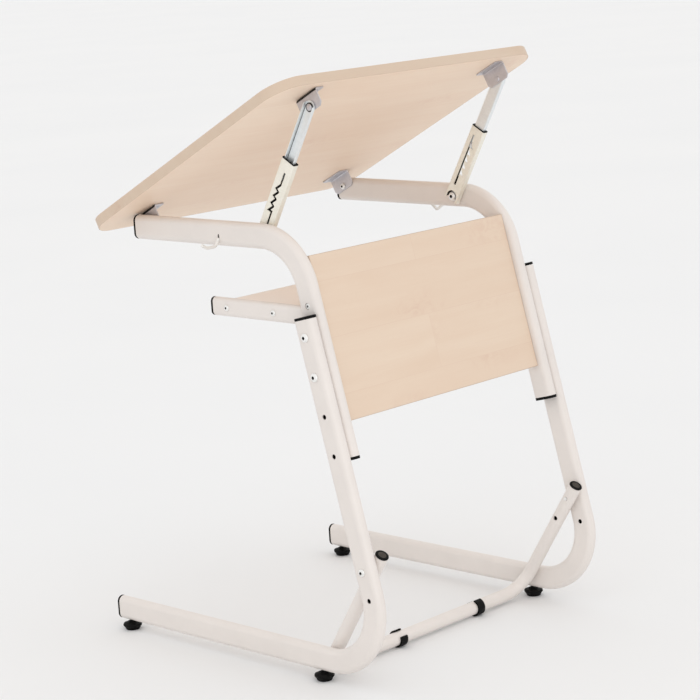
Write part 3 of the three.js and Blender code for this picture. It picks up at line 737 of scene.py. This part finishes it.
def end_plug(name, w, h, point, outward, body, node):
    """A plastic end plug: a domed flange, with a shallow dish moulded into its face."""
    z = outward.normalized()
    place = Matrix((SIDE, z.cross(SIDE), z)).transposed().to_4x4()
    place.translation = point
    rim = plate(name, stadium(w, h), (), PLUG_RIM, 0.7, place, GAP)
    cut(rim, prism("dish", stadium(w - 9, h - 9), PLUG_RIM - 0.6, 6, place))
    skirt = plate("skirt", stadium(w - 3.6, h - 3.6), (), 10.0, 0.6, place, -9.9)
    whole = joined(name, rim, skirt)
    shaded(whole, 28)
    keep(whole, body, BLACK, "black_plastic", node)


# ---- fasteners
def paint_socket_shade(head, y, z, radius, floor, sign):
    """Paints the faces inside a socket dark: painted shade in the recess."""
    finishes(head, HEAD, SCALE_AND_SHADE)
    second_finish(head, lambda at: math.hypot(at.y - y, at.z - z) < radius * 0.99
                  and sign * (at.x - floor) > 0)


def dome_screw(name, sign, at, size, body, node):
    """Button-head screw with a hexagonal socket; size is head radius, height, socket, shank."""
    x, y, z = at
    r, h, socket, shank = size
    profile = [(0, -shank), (2.4, -shank), (2.8, -shank + 1), (2.8, 0), (r - 0.3, 0), (r, 0.25),
               (r, h * 0.3)]
    profile += [(r * math.cos(a), h * 0.3 + h * 0.7 * math.sin(a))
                for a in map(math.radians, (12, 24, 36, 48, 60))]
    profile += [(socket + 0.7, h * 0.97), (socket + 0.2, h), (0, h)]
    place = facing_x(sign, x, y, z)
    head = lathe(name, profile, 40, place)
    cut(head, prism("socket", circle(socket, 6), h * 0.25, h + 1, place))
    paint_socket_shade(head, y, z, socket, x + sign * h * 0.2, sign)
    shaded(head, 32)
    keep(head, body, HEAD, "zinc_plate", node)


def countersunk(name, place, body):
    """Small wood screw, flush in its plate, with a cross recess."""
    head = lathe(name, [(0, -2.0), (1.8, -2.0), (3.9, -0.15), (3.9, 0.1), (3.4, 0.45),
                        (1.6, 0.62), (0, 0.66)], 28, place)
    arms = [prism("arm", rounded(4.2, 1.0, 0.3, 2), -0.9, 2, place @ Matrix.Rotation(a, 4, "Z"))
            for a in (0.4, 0.4 + math.pi / 2)]
    cut(head, *arms)
    shaded(head, 30)
    keep(head, body, ZINC, "zinc_plate")


# ---- boards
def board(name, w, d, r, matrix, body, wood, node, band):
    """A faced board with its edge band; the fine joint between them shows as a line."""
    steps = 14 if r > 5 else 3
    inner_r, joint = max(r - band, 0.6), 0.15
    core = rounded(w - 2 * band - joint, d - 2 * band - joint, inner_r, steps)
    hole = rounded(w - 2 * band, d - 2 * band, inner_r, steps)
    slab = plate(f"{name}_core", core, (), BOARD_T, 0.15)
    ring = plate(f"{name}_band", rounded(w, d, r, steps), (hole,), BOARD_T, 0.4)
    for piece, material, nodes in ((slab, wood, (node,)), (ring, EDGE, ())):
        shaded(piece, 30)
        piece.matrix_world = matrix
        keep(piece, body, material, "maple", *nodes)


DESK = Matrix.Translation(HINGE) @ Matrix.Rotation(DESK_TILT, 4, "X")


def boards():
    top = DESK @ Matrix.Translation((0, DESK_FRONT + DESK_D / 2, HINGE_DROP))
    board("desktop_board", DESK_W, DESK_D, DESK_R, metres(top), "desktop", WOOD_TOP, "desktop", 0.9)
    front, rear = SHELF_BOARD_ENDS
    shelf = Matrix.Translation((0, CORNER.y - (front + rear) / 2, SHELF_Z - BOARD_T / 2))
    board("shelf_board_faced", INNER_BOARD_W, front - rear, 1.2, metres(shelf), "upper",
          WOOD_SHELF, "shelf_board", 0.6)
    middle = leg_point((PANEL_LOW + PANEL_HIGH) / 2)
    panel = Matrix.Translation(middle) @ Matrix.Rotation(LEAN + math.pi / 2, 4, "X")
    panel = panel @ Matrix.Translation((0, 0, -BOARD_T / 2))
    board("back_panel_faced", INNER_BOARD_W, PANEL_HIGH - PANEL_LOW, 1.2, metres(panel), "upper",
          WOOD_PANEL, "back_panel", 0.6)


# ---- pressed brackets
def folded(obj, at, radius, toward):
    """Folds a flat plate (its top at z = 0) down past x = at, through a right angle."""
    bm = bmesh.new()
    bm.from_mesh(obj.data)
    bm.transform(Matrix.Scale(1 / MM, 4))
    length = radius * math.pi / 2
    for i in range(9):
        geometry = list(bm.verts) + list(bm.edges) + list(bm.faces)
        bmesh.ops.bisect_plane(bm, geom=geometry, dist=1e-5, plane_no=(1, 0, 0),
                               plane_co=(toward * (at + length * i / 8), 0, 0))
    for vert in bm.verts:
        past = toward * vert.co.x - at
        if past <= 0:
            continue
        depth = radius + vert.co.z
        angle = min(past / length, 1.0) * math.pi / 2
        rest = max(past - length, 0.0)
        vert.co.x = toward * (at + depth * math.sin(angle))
        vert.co.z = -radius + depth * math.cos(angle) - rest
    bmesh.ops.recalc_face_normals(bm, faces=bm.faces)
    bm.transform(Matrix.Scale(MM, 4))
    bm.to_mesh(obj.data)
    bm.free()
    return obj


def angle_bracket(name, kind, inner, outer, at, side, hole):
    """An angle bracket bent from its flat pattern: a flange with two screw holes, and an ear."""
    radius = BRACKET_FOLD_R
    fold = outer - radius
    tip = fold + radius * math.pi / 2 + HINGE_DROP - GAP + EAR_TIP - radius
    half, clip, r, nick = BRACKET_HALF, 5.0, 3.0, 0.6
    corner = arc_points(0, 0, r, 0, math.pi / 2, 5)
    outline = [(inner + r, -half), (tip - clip, -half), (tip - 0.4, -half + clip - nick),
               (tip, -half + clip + nick), (tip, half - clip - nick),
               (tip - 0.4, half - clip + nick), (tip - clip, half), (inner + r, half)]
    outline += [(inner + r - x, half - r + y) for x, y in reversed(corner)][1:]
    outline += [(inner + r - x, -half + r - y) for x, y in corner]
    holes = [circle(2.5, 20, inner + BRACKET_SCREW_IN, u) for u in BRACKET_SCREWS.values()]
    if hole:
        holes.append(circle(3.4, 24, tip - EAR_TIP, 0))
    if side < 0:
        outline = [(-x, y) for x, y in reversed(outline)]
        holes = [[(-x, y) for x, y in loop] for loop in holes]
    flat = plate(f"{kind}_angle_{name}", outline, holes, BRACKET_T, 0.25, None, -BRACKET_T)
    blank = folded(flat, fold, radius, side)
    finishes(blank, ZINC, SCALE_AND_SHADE)

    # The fold's outer curve takes the dark finish: painted shade for the shadow wedge between the
    # fold and the desktop.
    def in_painted_fold_shadow(middle):
        past, rise = side * middle.x - fold, middle.z + radius
        return past > 0.2 and rise > 0.2 and math.hypot(past, rise) > radius - 0.5

    second_finish(blank, in_painted_fold_shadow)
    shaded(blank, 40)
    blank.matrix_world = metres(at @ Matrix.Translation((0, 0, HINGE_DROP - GAP)))
    keep(blank, "desktop", ZINC, "zinc_plate", f"{kind}_bracket_{name}")


def wood_screws(name, kind, inner, at, side):
    """The two screws that hold a bracket's flange to the desktop."""
    head_z = HINGE_DROP - GAP - BRACKET_T
    for tag, u in BRACKET_SCREWS.items():
        spot = at @ Matrix.Translation((side * (inner + BRACKET_SCREW_IN), u, head_z))
        countersunk(f"{kind}_wood_screw_{name}_{tag}", spot @ Matrix.Rotation(math.pi, 4, "X"),
                    "desktop")


def hinge_bracket(name, side):
    face = ARM_INNER_X - 2 * GAP
    angle_bracket(name, "hinge", face - HINGE_FLANGE, face, DESK, side, True)
    wood_screws(name, "hinge", face - HINGE_FLANGE, DESK, side)
    at = (side * (face - BRACKET_T - GAP), HINGE.y, HINGE.z)
    dome_screw(f"hinge_button_{name}", -side, at, (5.5, 3.5, 2.2, 12), "upper",
               f"hinge_screw_{name}")


def strut_bracket(name, side):
    """Angle bracket beside the slider's inner face, with the rivet's formed end on its ear."""
    ear_face = STRUT_X - SLIDER_D / 2 - GAP
    at = DESK @ Matrix.Translation((0, STRUT_TOP_U, 0))
    angle_bracket(name, "strut", STRUT_BRACKET_INNER, ear_face, at, side, False)
    profile = [(0, -0.6), (4.2, -0.6), (4.5, 0), (4.4, 0.6), (3.8, 1.2), (2.8, 1.5), (2.0, 1.55),
               (1.7, 1.1), (0, 1.05)]
    head = lathe(f"strut_rivet_end_{name}", profile, 36,
                 facing_x(-side, side * (ear_face - BRACKET_T), 0, 0))
    shaded(head, 32)
    head.matrix_world = metres(at)
    keep(head, "desktop", ZINC, "zinc_plate")
    wood_screws(name, "strut", STRUT_BRACKET_INNER, at, side)


# ---- ratchet struts
TOOTH_PITCH = 13
ARM_SIDE_WINDOW = [(34, 0.8), (99, 0.8), (99, 8.4), (34, 8.4)]


def toothed_slot():
    """Narrow straight slot with five saw teeth on its rear side, drawn as (along, across)."""
    start, end, front, rear = 22, 120, 4.7, 0.9
    points = [(start, front), (end, front), (end, rear)]
    for i in range(4, -1, -1):
        y = 44 + TOOTH_PITCH * i
        points += [(y + 9, rear), (y + 0.7, -5.4), (y + 0.2, -5.7), (y, -5.3), (y, rear)]
    points.append((start, rear))
    return points


def stroke(points, width):
    """Outline of a line of even width through the points, with mitred corners."""
    place = [Vector(point) for point in points]
    runs = [(b - a).normalized() for a, b in zip(place, place[1:])]
    normals = [Vector((-run.y, run.x)) for run in runs]
    left, right = [], []
    for i, point in enumerate(place):
        before, after = normals[max(i - 1, 0)], normals[min(i, len(normals) - 1)]
        mitre = (before + after).normalized()
        shift = mitre * (width / 2 / mitre.dot(before))
        left.append(point + shift)
        right.append(point - shift)
    return [tuple(point) for point in left + right[::-1]]


def zigzag_slot():
    """Straight, four saw teeth, straight again."""
    line, tip = -2, 4.6
    points = [(20, line), (44, line)]
    for i in range(4):
        points += [(43.5 + TOOTH_PITCH * i, tip), (53.5 + TOOTH_PITCH * i, line)]
    points.append((114, line))
    return stroke(points, 3.8)


def strut_sleeve(name, side, place):
    half = SLEEVE_D / 2
    path = [(Vector((0, y, 0)), Vector((0, 1, 0))) for y in (SLEEVE_LOW, SLEEVE_TOP)]
    outlines = []
    for thin, r in ((0, 1.9), (2 * SLEEVE_WALL, 0.8)):
        outline = rounded(SLEEVE_D - thin, SLEEVE_W - thin, r, 4)
        outlines.append([(a, -b) for a, b in outline][::-1])
    sleeve = sweep(f"strut_sleeve_pressed_{name}", outlines[0], path, SIDE, outlines[1])
    r, beyond = 10.5, 20
    mouth = arc_points(0, 0, r, 0, math.pi, 24) + [(-r, -beyond), (r, -beyond)]
    mouth = [(b, a) for a, b in mouth]
    inward = -side * (half + 1)
    tools = [across_x("mouth", mouth, side * (half - SLEEVE_WALL - 0.2), inward),
             drill(3.3, 0, -inward, 0, 0),
             across_x("slot", toothed_slot(), 0, inward),
             across_x("slot", zigzag_slot() if side > 0 else ARM_SIDE_WINDOW, 0, -inward)]
    cut(sleeve, *tools)
    softened(sleeve, 0.18, 1, 50)
    # The sleeve's inner walls take the dark finish: painted shade inside the sleeve, which also
    # darkens its slots.
    finishes(sleeve, CREAM, SCALE_AND_SHADE)
    shaded(sleeve, 40)
    sleeve.matrix_world = place
    keep(sleeve, f"sleeve_{name}", CREAM, "cream_zinc", f"strut_sleeve_{name}")

    turn = Matrix(((1, 0, 0, 0), (0, 0, 1, SLEEVE_TOP + GAP), (0, -1, 0, 0), (0, 0, 0, 1)))
    hole = rounded(SLIDER_D + 0.5, 2 * SLIDER_R + 0.5, 0.4, 3)
    collar = plate(f"strut_collar_{name}", rounded(SLEEVE_D, SLEEVE_W, 1.9, 5), (hole,), 1.4, 0.3,
                   turn)
    shaded(collar, 35)
    collar.matrix_world = place
    keep(collar, f"sleeve_{name}", BLACK, "black_plastic", f"strut_guide_{name}")


def strut_slider(name, side, place):
    """A pressed channel, open toward the arm, with a groove beside one rim whose faces are painted
    dark as a shadow line.
    """
    r, half = SLIDER_R, SLIDER_D / 2
    outline = [(SLIDER_START, -r)] + arc_points(STRUT_LEN, 0, r, -math.pi / 2, math.pi / 2, 20)
    outline.append((SLIDER_START, r))
    low = -half if side > 0 else -half - 2
    slider = plate(f"strut_slider_pressed_{name}", outline, (), SLIDER_D + 2, 1.9, YZ, low)
    web = -side * (half - WALL)
    past, before = STRUT_LEN + 20, SLIDER_START - 1
    channel = rounded(past - before, 2 * (r - WALL), 0.8, 3, (past + before) / 2, 0)
    groove_low, groove_high = r - WALL - 1.0, r - WALL - 0.1
    groove = [(before, groove_low), (STRUT_LEN, groove_low), (STRUT_LEN, groove_high),
              (before, groove_high)]
    cut(slider,
        across_x("trim", rounded(200, 30, 1, 2, 160, 0), side * half, side * (half + 4)),
        across_x("channel", channel, web, side * 6),
        drill(4.3, -4, 4, STRUT_LEN, 0),
        drill(1.5, -4, 4, PIN_ALONG, PIN_ACROSS, 16),
        across_x("groove", groove, web - side * RIM_GROOVE_W, side * 6))
    softened(slider, 0.25, 2, 50)
    finishes(slider, BRIGHT, SCALE_AND_SHADE)
    # The groove's faces take the dark finish: a painted shadow line in the channel's inner corner.
    second_finish(slider, lambda at: groove_low - 0.05 < at.z < groove_high + 0.05
                  and -RIM_GROOVE_W - 0.1 < side * (at.x - web) < -0.05)
    shaded(slider, 40)
    slider.matrix_world = place
    keep(slider, f"slider_{name}", BRIGHT, "bright_zinc", f"strut_slider_{name}")

    profile = [(0, -1.7), (4.0, -1.7), (4.0, 0.3), (7.2, 0.3), (7.4, 0.5), (7.4, 0.9), (7.2, 1.1),
               (5.5, 1.1), (5.4, 1.6), (4.6, 2.3), (3.2, 2.7), (0, 2.8)]
    rivet = lathe(f"strut_rivet_round_{name}", profile, 36, facing_x(side, web, STRUT_LEN, 0))
    finishes(rivet, ZINC, SCALE_AND_SHADE)
    # The rivet's flange beyond this radius takes the dark finish: a painted shadow ring round the
    # rivet.
    second_finish(rivet, lambda at: math.hypot(at.y - STRUT_LEN, at.z) > RIVET_SHADE_EDGE)
    shaded(rivet, 35)
    rivet.matrix_world = place
    keep(rivet, f"slider_{name}", ZINC, "zinc_plate", f"strut_rivet_{name}")
    profile = [(0, -1.6), (1.2, -1.6), (1.2, 3.6), (0.9, 3.9), (0, 3.9)]
    pin = lathe(f"ratchet_pin_round_{name}", profile, 20,
                facing_x(-side, -side * 2.4, PIN_ALONG, PIN_ACROSS))
    shaded(pin, 35)
    pin.matrix_world = place
    keep(pin, f"slider_{name}", ZINC, "zinc_plate", f"ratchet_pin_{name}")


def strut(name, side):
    local = Matrix.Translation((side * STRUT_X, STRUT_FOOT.y, STRUT_FOOT.z))
    place = metres(local @ Matrix.Rotation(STRUT_ANGLE, 4, "X"))
    strut_sleeve(name, side, place)
    strut_slider(name, side, place)
    seat = side * (STRUT_X + SLEEVE_D / 2 - SLEEVE_WALL - GAP)
    turn = facing_x(-side, seat, STRUT_FOOT.y, STRUT_FOOT.z)
    profile = [(0, -12), (2.6, -12), (3.0, -11), (3.0, 0), (7.7, 0), (8.0, 0.3), (8.0, 5.0),
               (7.7, 5.3), (7.3, 5.3), (7.3, 7.2), (7.0, 8.3), (6.3, 9.3), (5.3, 10.0),
               (4.0, 10.4), (3.0, 10.5), (0, 10.5)]
    socket = 2.8
    bolt = lathe(f"strut_foot_bolt_{name}", profile, 44, turn)
    cut(bolt, prism("socket", circle(socket, 6), 6.0, 12.0, turn))
    paint_socket_shade(bolt, STRUT_FOOT.y, STRUT_FOOT.z, socket, seat - side * 5.0, -side)
    shaded(bolt, 32)
    keep(bolt, "upper", HEAD, "bright_zinc", f"strut_bolt_{name}")


# ---- feet, hooks and footrest
def scallops(radius, angle):
    return 1.0 - (0.035 * max(0.0, math.cos(8 * angle)) if radius > 12.8 else 0.0)


def levelling_foot(name, node):
    """Moulded knob with finger scallops, a hexagonal collar and a threaded stud."""
    box_low, box_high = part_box(node)
    middle = (box_low + box_high) / 2 / MM
    place = Matrix.Translation((middle.x, middle.y, 0))
    profile = [(0, 0), (11.2, 0), (11.8, 0.3), (12.4, 1.4), (13.6, 4.2), (15.3, 6.2), (16.1, 7.2),
               (16.3, 8.4), (16.1, 9.6), (15.5, 10.4), (14.4, 10.9), (10.5, 11.6), (8.6, 11.9),
               (8.4, 12.3), (0, 12.3)]
    knob = lathe(name, profile, 64, place, scallops)
    hexagon = prism("hex", circle(7.4, 6), 12.0, 14.6, place)
    softened(hexagon, 0.4, 2)
    thread = [(0, 12)]
    root, crest, turn_pitch = 3.55, 4.0, 1.2
    for i in range(16):
        z = 13.0 + i * turn_pitch
        thread += [(root, z), (crest, z + 0.45), (crest, z + 0.6), (root, z + 1.05)]
    thread.append((0, 31.8))
    stud = lathe("stud", thread, 24, place)
    whole = joined(name, knob, hexagon, stud)
    shaded(whole, 30)
    keep(whole, name, BLACK, "black_plastic", node)


def quarter_round(r, start, end, shift=0.0):
    """Profile points on a circle about the axis, every 15 degrees."""
    return [(r * math.cos(math.radians(a)), r * math.sin(math.radians(a)) + shift)
            for a in range(start, end, 15)]


def bag_hook(name, side):
    """Thick wire on a tongue through the arm's slit: it drops, turns outward and rises to a tip."""
    base = Vector((side * (UPPER_X + TUBE_W / 2 + GAP), HOOK_Y, HOOK_Z))
    corners = [base + Vector((side * out, 0, up)) for out, up in HOOK_LINES[name]]
    normal = Vector((0, 1, 0))
    ahead = (corners[-1] - corners[-2]).normalized()
    corners[-1] = corners[-1] - ahead * 1.5
    wire = sweep("wire", circle(2.5, 22), stations(corners, 6.0, normal, 12), normal)
    turn = Matrix((normal, ahead.cross(normal), ahead)).transposed().to_4x4()
    turn.translation = corners[-1]
    tip = lathe("tip", [(0, -2.4)] + quarter_round(2.75, -60, 90, -1.0) + [(0, 1.8)], 26, turn)
    tongue = across_x("tongue", rounded(2.2, 3.4, 0.8, 4, HOOK_Y, HOOK_Z - 0.7),
                      base.x - side * 8, base.x + side * 2)
    knee_turn = Matrix.Translation(base + Vector((side * 0.1, 0, -0.6)))
    knee = lathe("knee", quarter_round(2.6, 0, 90) + [(0, 2.6)], 26,
                 knee_turn @ Matrix.Rotation(side * math.pi / 2, 4, "Y"))
    whole = joined(f"bag_hook_bent_{name}", wire, tip, tongue, knee)
    shaded(whole, 50)
    keep(whole, "upper", ENAMEL, "white_enamel", f"bag_hook_{name}")


def footrest_tube(end):
    low = {side: PIVOT + DOWN * FOOTREST_LEN + SIDE * side * FOOTREST_X for side in (-1, 1)}
    path = stations([end[-1], low[-1], low[1], end[1]], 45.0, ACROSS, 22)
    tube = sweep("footrest_tube", circle(FOOTREST_R, 40), path, ACROSS,
                 circle(FOOTREST_R - WALL, 40))
    finishes(tube, PAINT, SCALE_AND_SHADE)
    second = PIVOT + DOWN * 44.5
    tools = []
    for side in (-1, 1):
        near, far = side * (FOOTREST_X - 15), side * (FOOTREST_X + 15)
        tools.append(drill(3.3, near, far, PIVOT.y, PIVOT.z))
        tools.append(drill(4.0, near, far, second.y, second.z))
    cut(tube, joined("tools", *tools))
    shaded(tube, 32)
    keep(tube, "footrest", PAINT, "frame_paint", "footrest_bar")


def footrest_cap(name, end):
    up = -DOWN
    turn = Matrix((SIDE, up.cross(SIDE), up)).transposed().to_4x4()
    turn.translation = end
    profile = [(0, -8), (8.9, -8), (9.1, 0.3), (10.6, 0.3), (11.0, 0.7), (11.0, 1.5), (10.4, 2.4),
               (9.2, 2.9), (7.4, 3.1), (6.8, 2.6), (5.2, 1.9), (2.6, 1.6), (0, 1.5)]
    dish_r = 6.6
    cap = lathe(f"footrest_cap_{name}", profile, 44, turn)
    finishes(cap, BLACK, WORN)

    def in_dish(middle):
        offset = middle - end
        rise = offset.dot(up)
        return rise > 0.5 and (offset - up * rise).length < dish_r

    second_finish(cap, in_dish)
    shaded(cap, 30)
    keep(cap, "footrest", BLACK, "black_plastic", f"footrest_plug_{name}")


def footrest_clip(name):
    """A C-shaped moulding with rounded tips round the footrest's bar."""
    box_low, box_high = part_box(f"footrest_clip_{name}")
    x = (box_low.x + box_high.x) / 2 / MM
    inner, outer = FOOTREST_R + 0.25, BAR_Z
    middle = (inner + outer) / 2
    a0, a1 = (math.radians(a) for a in CLIP_ARCS[name])

    def tip(angle, start):
        cx, cy = middle * math.cos(angle), middle * math.sin(angle)
        return arc_points(cx, cy, CLIP_TIP_R, start, start + math.pi, 8)[1:-1]

    shape = arc_points(0, 0, outer, a0, a1, 44) + tip(a1, a1)
    shape += arc_points(0, 0, inner, a1, a0, 44) + tip(a0, a0 + math.pi)
    at = Matrix.Translation((x - CLIP_W / 2, PIVOT.y + DOWN.y * FOOTREST_LEN, BAR_Z))
    clip = plate(f"footrest_glide_{name}", shape, (), CLIP_W, 0.6, at @ YZ)
    shaded(clip, 35)
    keep(clip, "footrest", BLACK, "black_plastic", f"footrest_clip_{name}")


def footrest():
    end = {side: PIVOT - DOWN * 25.0 + SIDE * side * FOOTREST_X for side in (-1, 1)}
    footrest_tube(end)
    for name, side in SIDES.items():
        footrest_cap(name, end[side])
        footrest_clip(name)


# ---- assembly
def caps(name, side):
    """The five end plugs of one side."""
    lower, upper, shelf = side * LOWER_X, side * UPPER_X, side * SHELF_X
    top, low = leg_point(LOWER_LEG_TOP), leg_point(UPPER_LEG_LOW)
    for tag, size, at, outward, body, node in (
            ("foot", (TUBE_W, TUBE_H), (lower, CORNER.y - FOOT_REACH, FOOT_Z), FORWARD, "base",
             "foot_plug"),
            ("lower_leg", (TUBE_W, TUBE_H), (lower, top.y, top.z), LEG_DIR, "base",
             "lower_leg_plug"),
            ("upper_leg", (TUBE_W, TUBE_H), (upper, low.y, low.z), -LEG_DIR, "upper",
             "upper_leg_plug"),
            ("arm", (TUBE_W, TUBE_H), (upper, CORNER.y - ARM_REACH, ARM_Z), FORWARD, "upper",
             "arm_plug"),
            ("shelf", (SHELF_W, SHELF_H), (shelf, CORNER.y - SHELF_REACH, SHELF_Z), FORWARD,
             "upper", "shelf_plug")):
        end_plug(f"{tag}_cap_{name}", *size, Vector(at), outward, body, f"{node}_{name}")


def buttons(name, side):
    """The button-head screws on the outer faces of one side."""
    face = side * (LOWER_X + TUBE_W / 2 + 0.1)
    for tag, s in (("upper", TOP_BOLT), ("lower", TOP_BOLT - PITCH)):
        at = leg_point(s)
        dome_screw(f"leg_button_{tag}_{name}", side, (face, at.y, at.z), (7.0, 4.0, 2.6, 16),
                   "base", f"leg_bolt_{tag}_{name}")
    dome_screw(f"footrest_button_{name}", side, (face, PIVOT.y, PIVOT.z), (6.0, 3.5, 2.4, 45),
               "base", f"footrest_bolt_{name}")
    for tag, reach in zip(("front", "rear"), SHELF_SCREWS):
        at = (side * (SHELF_X + SHELF_W / 2 + 0.1), CORNER.y - reach, SHELF_Z)
        dome_screw(f"shelf_button_{tag}_{name}", side, at, (5.0, 3.0, 1.9, 12), "upper",
                   f"shelf_screw_{tag}_{name}")
    at = leg_point(PANEL_SCREW)
    dome_screw(f"panel_button_{name}", side, (side * (UPPER_X + TUBE_W / 2 - 2.4), at.y, at.z),
               (4.9, 2.2, 1.9, 12), "upper", f"panel_screw_{name}")


def side_pieces(name, side):
    lower_frame(name, side)
    upper_frame(name, side)
    shelf_tube(name, side)
    caps(name, side)
    buttons(name, side)
    hinge_bracket(name, side)
    strut_bracket(name, side)
    strut(name, side)
    bag_hook(name, side)
    for place in ("front", "rear"):
        levelling_foot(f"leveller_{place}_{name}", f"levelling_foot_{place}_{name}")


boards()
footrest()
for side_name, side_sign in SIDES.items():
    side_pieces(side_name, side_sign)


# ---- floor, light and camera
def studio():
    bpy.ops.mesh.primitive_plane_add(size=160)
    floor = bpy.context.object
    floor.name = "studio_floor"
    n = Nodes("studio_floor")
    haze = n.noise(n.object, 0.9, 3.0, 0.5)
    color = n.mix(n.ramp(haze, 0.3, 0.7), (0.835, 0.838, 0.842), (0.850, 0.851, 0.853))
    n.set(Base_Color=color, Roughness=0.7)
    floor.data.materials.append(n.material)

    world = bpy.data.worlds.new("studio")
    bpy.context.scene.world = world
    world.use_nodes = True
    background = world.node_tree.nodes["Background"]
    background.inputs["Color"].default_value = (1.0, 0.995, 0.99, 1.0)
    background.inputs["Strength"].default_value = 1.0

    sun = bpy.data.lights.new("key", "SUN")
    sun.energy = 0.15
    sun.angle = math.radians(50)
    sun.color = (1.0, 0.99, 0.975)
    elevation, azimuth = math.radians(55), math.radians(85)
    toward = Vector((math.cos(elevation) * math.cos(azimuth),
                     math.cos(elevation) * math.sin(azimuth), math.sin(elevation)))
    linked("key", sun).rotation_euler = toward.to_track_quat("Z", "Y").to_euler()

    bounce = bpy.data.lights.new("low_bounce", "AREA")
    bounce.energy = 15.0
    bounce.shape = "RECTANGLE"
    bounce.size = 2.6
    bounce.size_y = 0.9
    lamp = linked("low_bounce", bounce)
    lamp.location = (2.3, 2.9, 0.55)
    toward = Vector((2.3, 2.9, 0.55)) - Vector((0, 0.1, 0.62))
    lamp.rotation_euler = toward.to_track_quat("Z", "Y").to_euler()


def camera():
    """A long lens from behind the desk's right side, rolled a few degrees."""
    data = bpy.data.cameras.new("camera")
    data.lens = 115.2
    data.sensor_width = 36.0
    data.clip_end = 400.0
    cam = linked("camera", data)
    bpy.context.scene.camera = cam
    eye = Vector((2.596, 2.577, 1.1797))
    yaw = math.atan2(-2.581, -2.596) + math.radians(-0.257)
    pitch, roll = math.radians(-11.073), math.radians(-3.676)
    ahead = Vector((math.cos(yaw) * math.cos(pitch), math.sin(yaw) * math.cos(pitch),
                    math.sin(pitch)))
    right = ahead.cross(Vector((0, 0, 1))).normalized()
    up = right.cross(ahead)
    turned = right * math.cos(roll) + up * math.sin(roll)
    upright = up * math.cos(roll) - right * math.sin(roll)
    turn = Matrix((turned, upright, -ahead)).transposed().to_4x4()
    cam.matrix_world = Matrix.Translation(eye) @ turn


studio()
camera()
bpy.context.scene.view_settings.view_transform = "Standard"
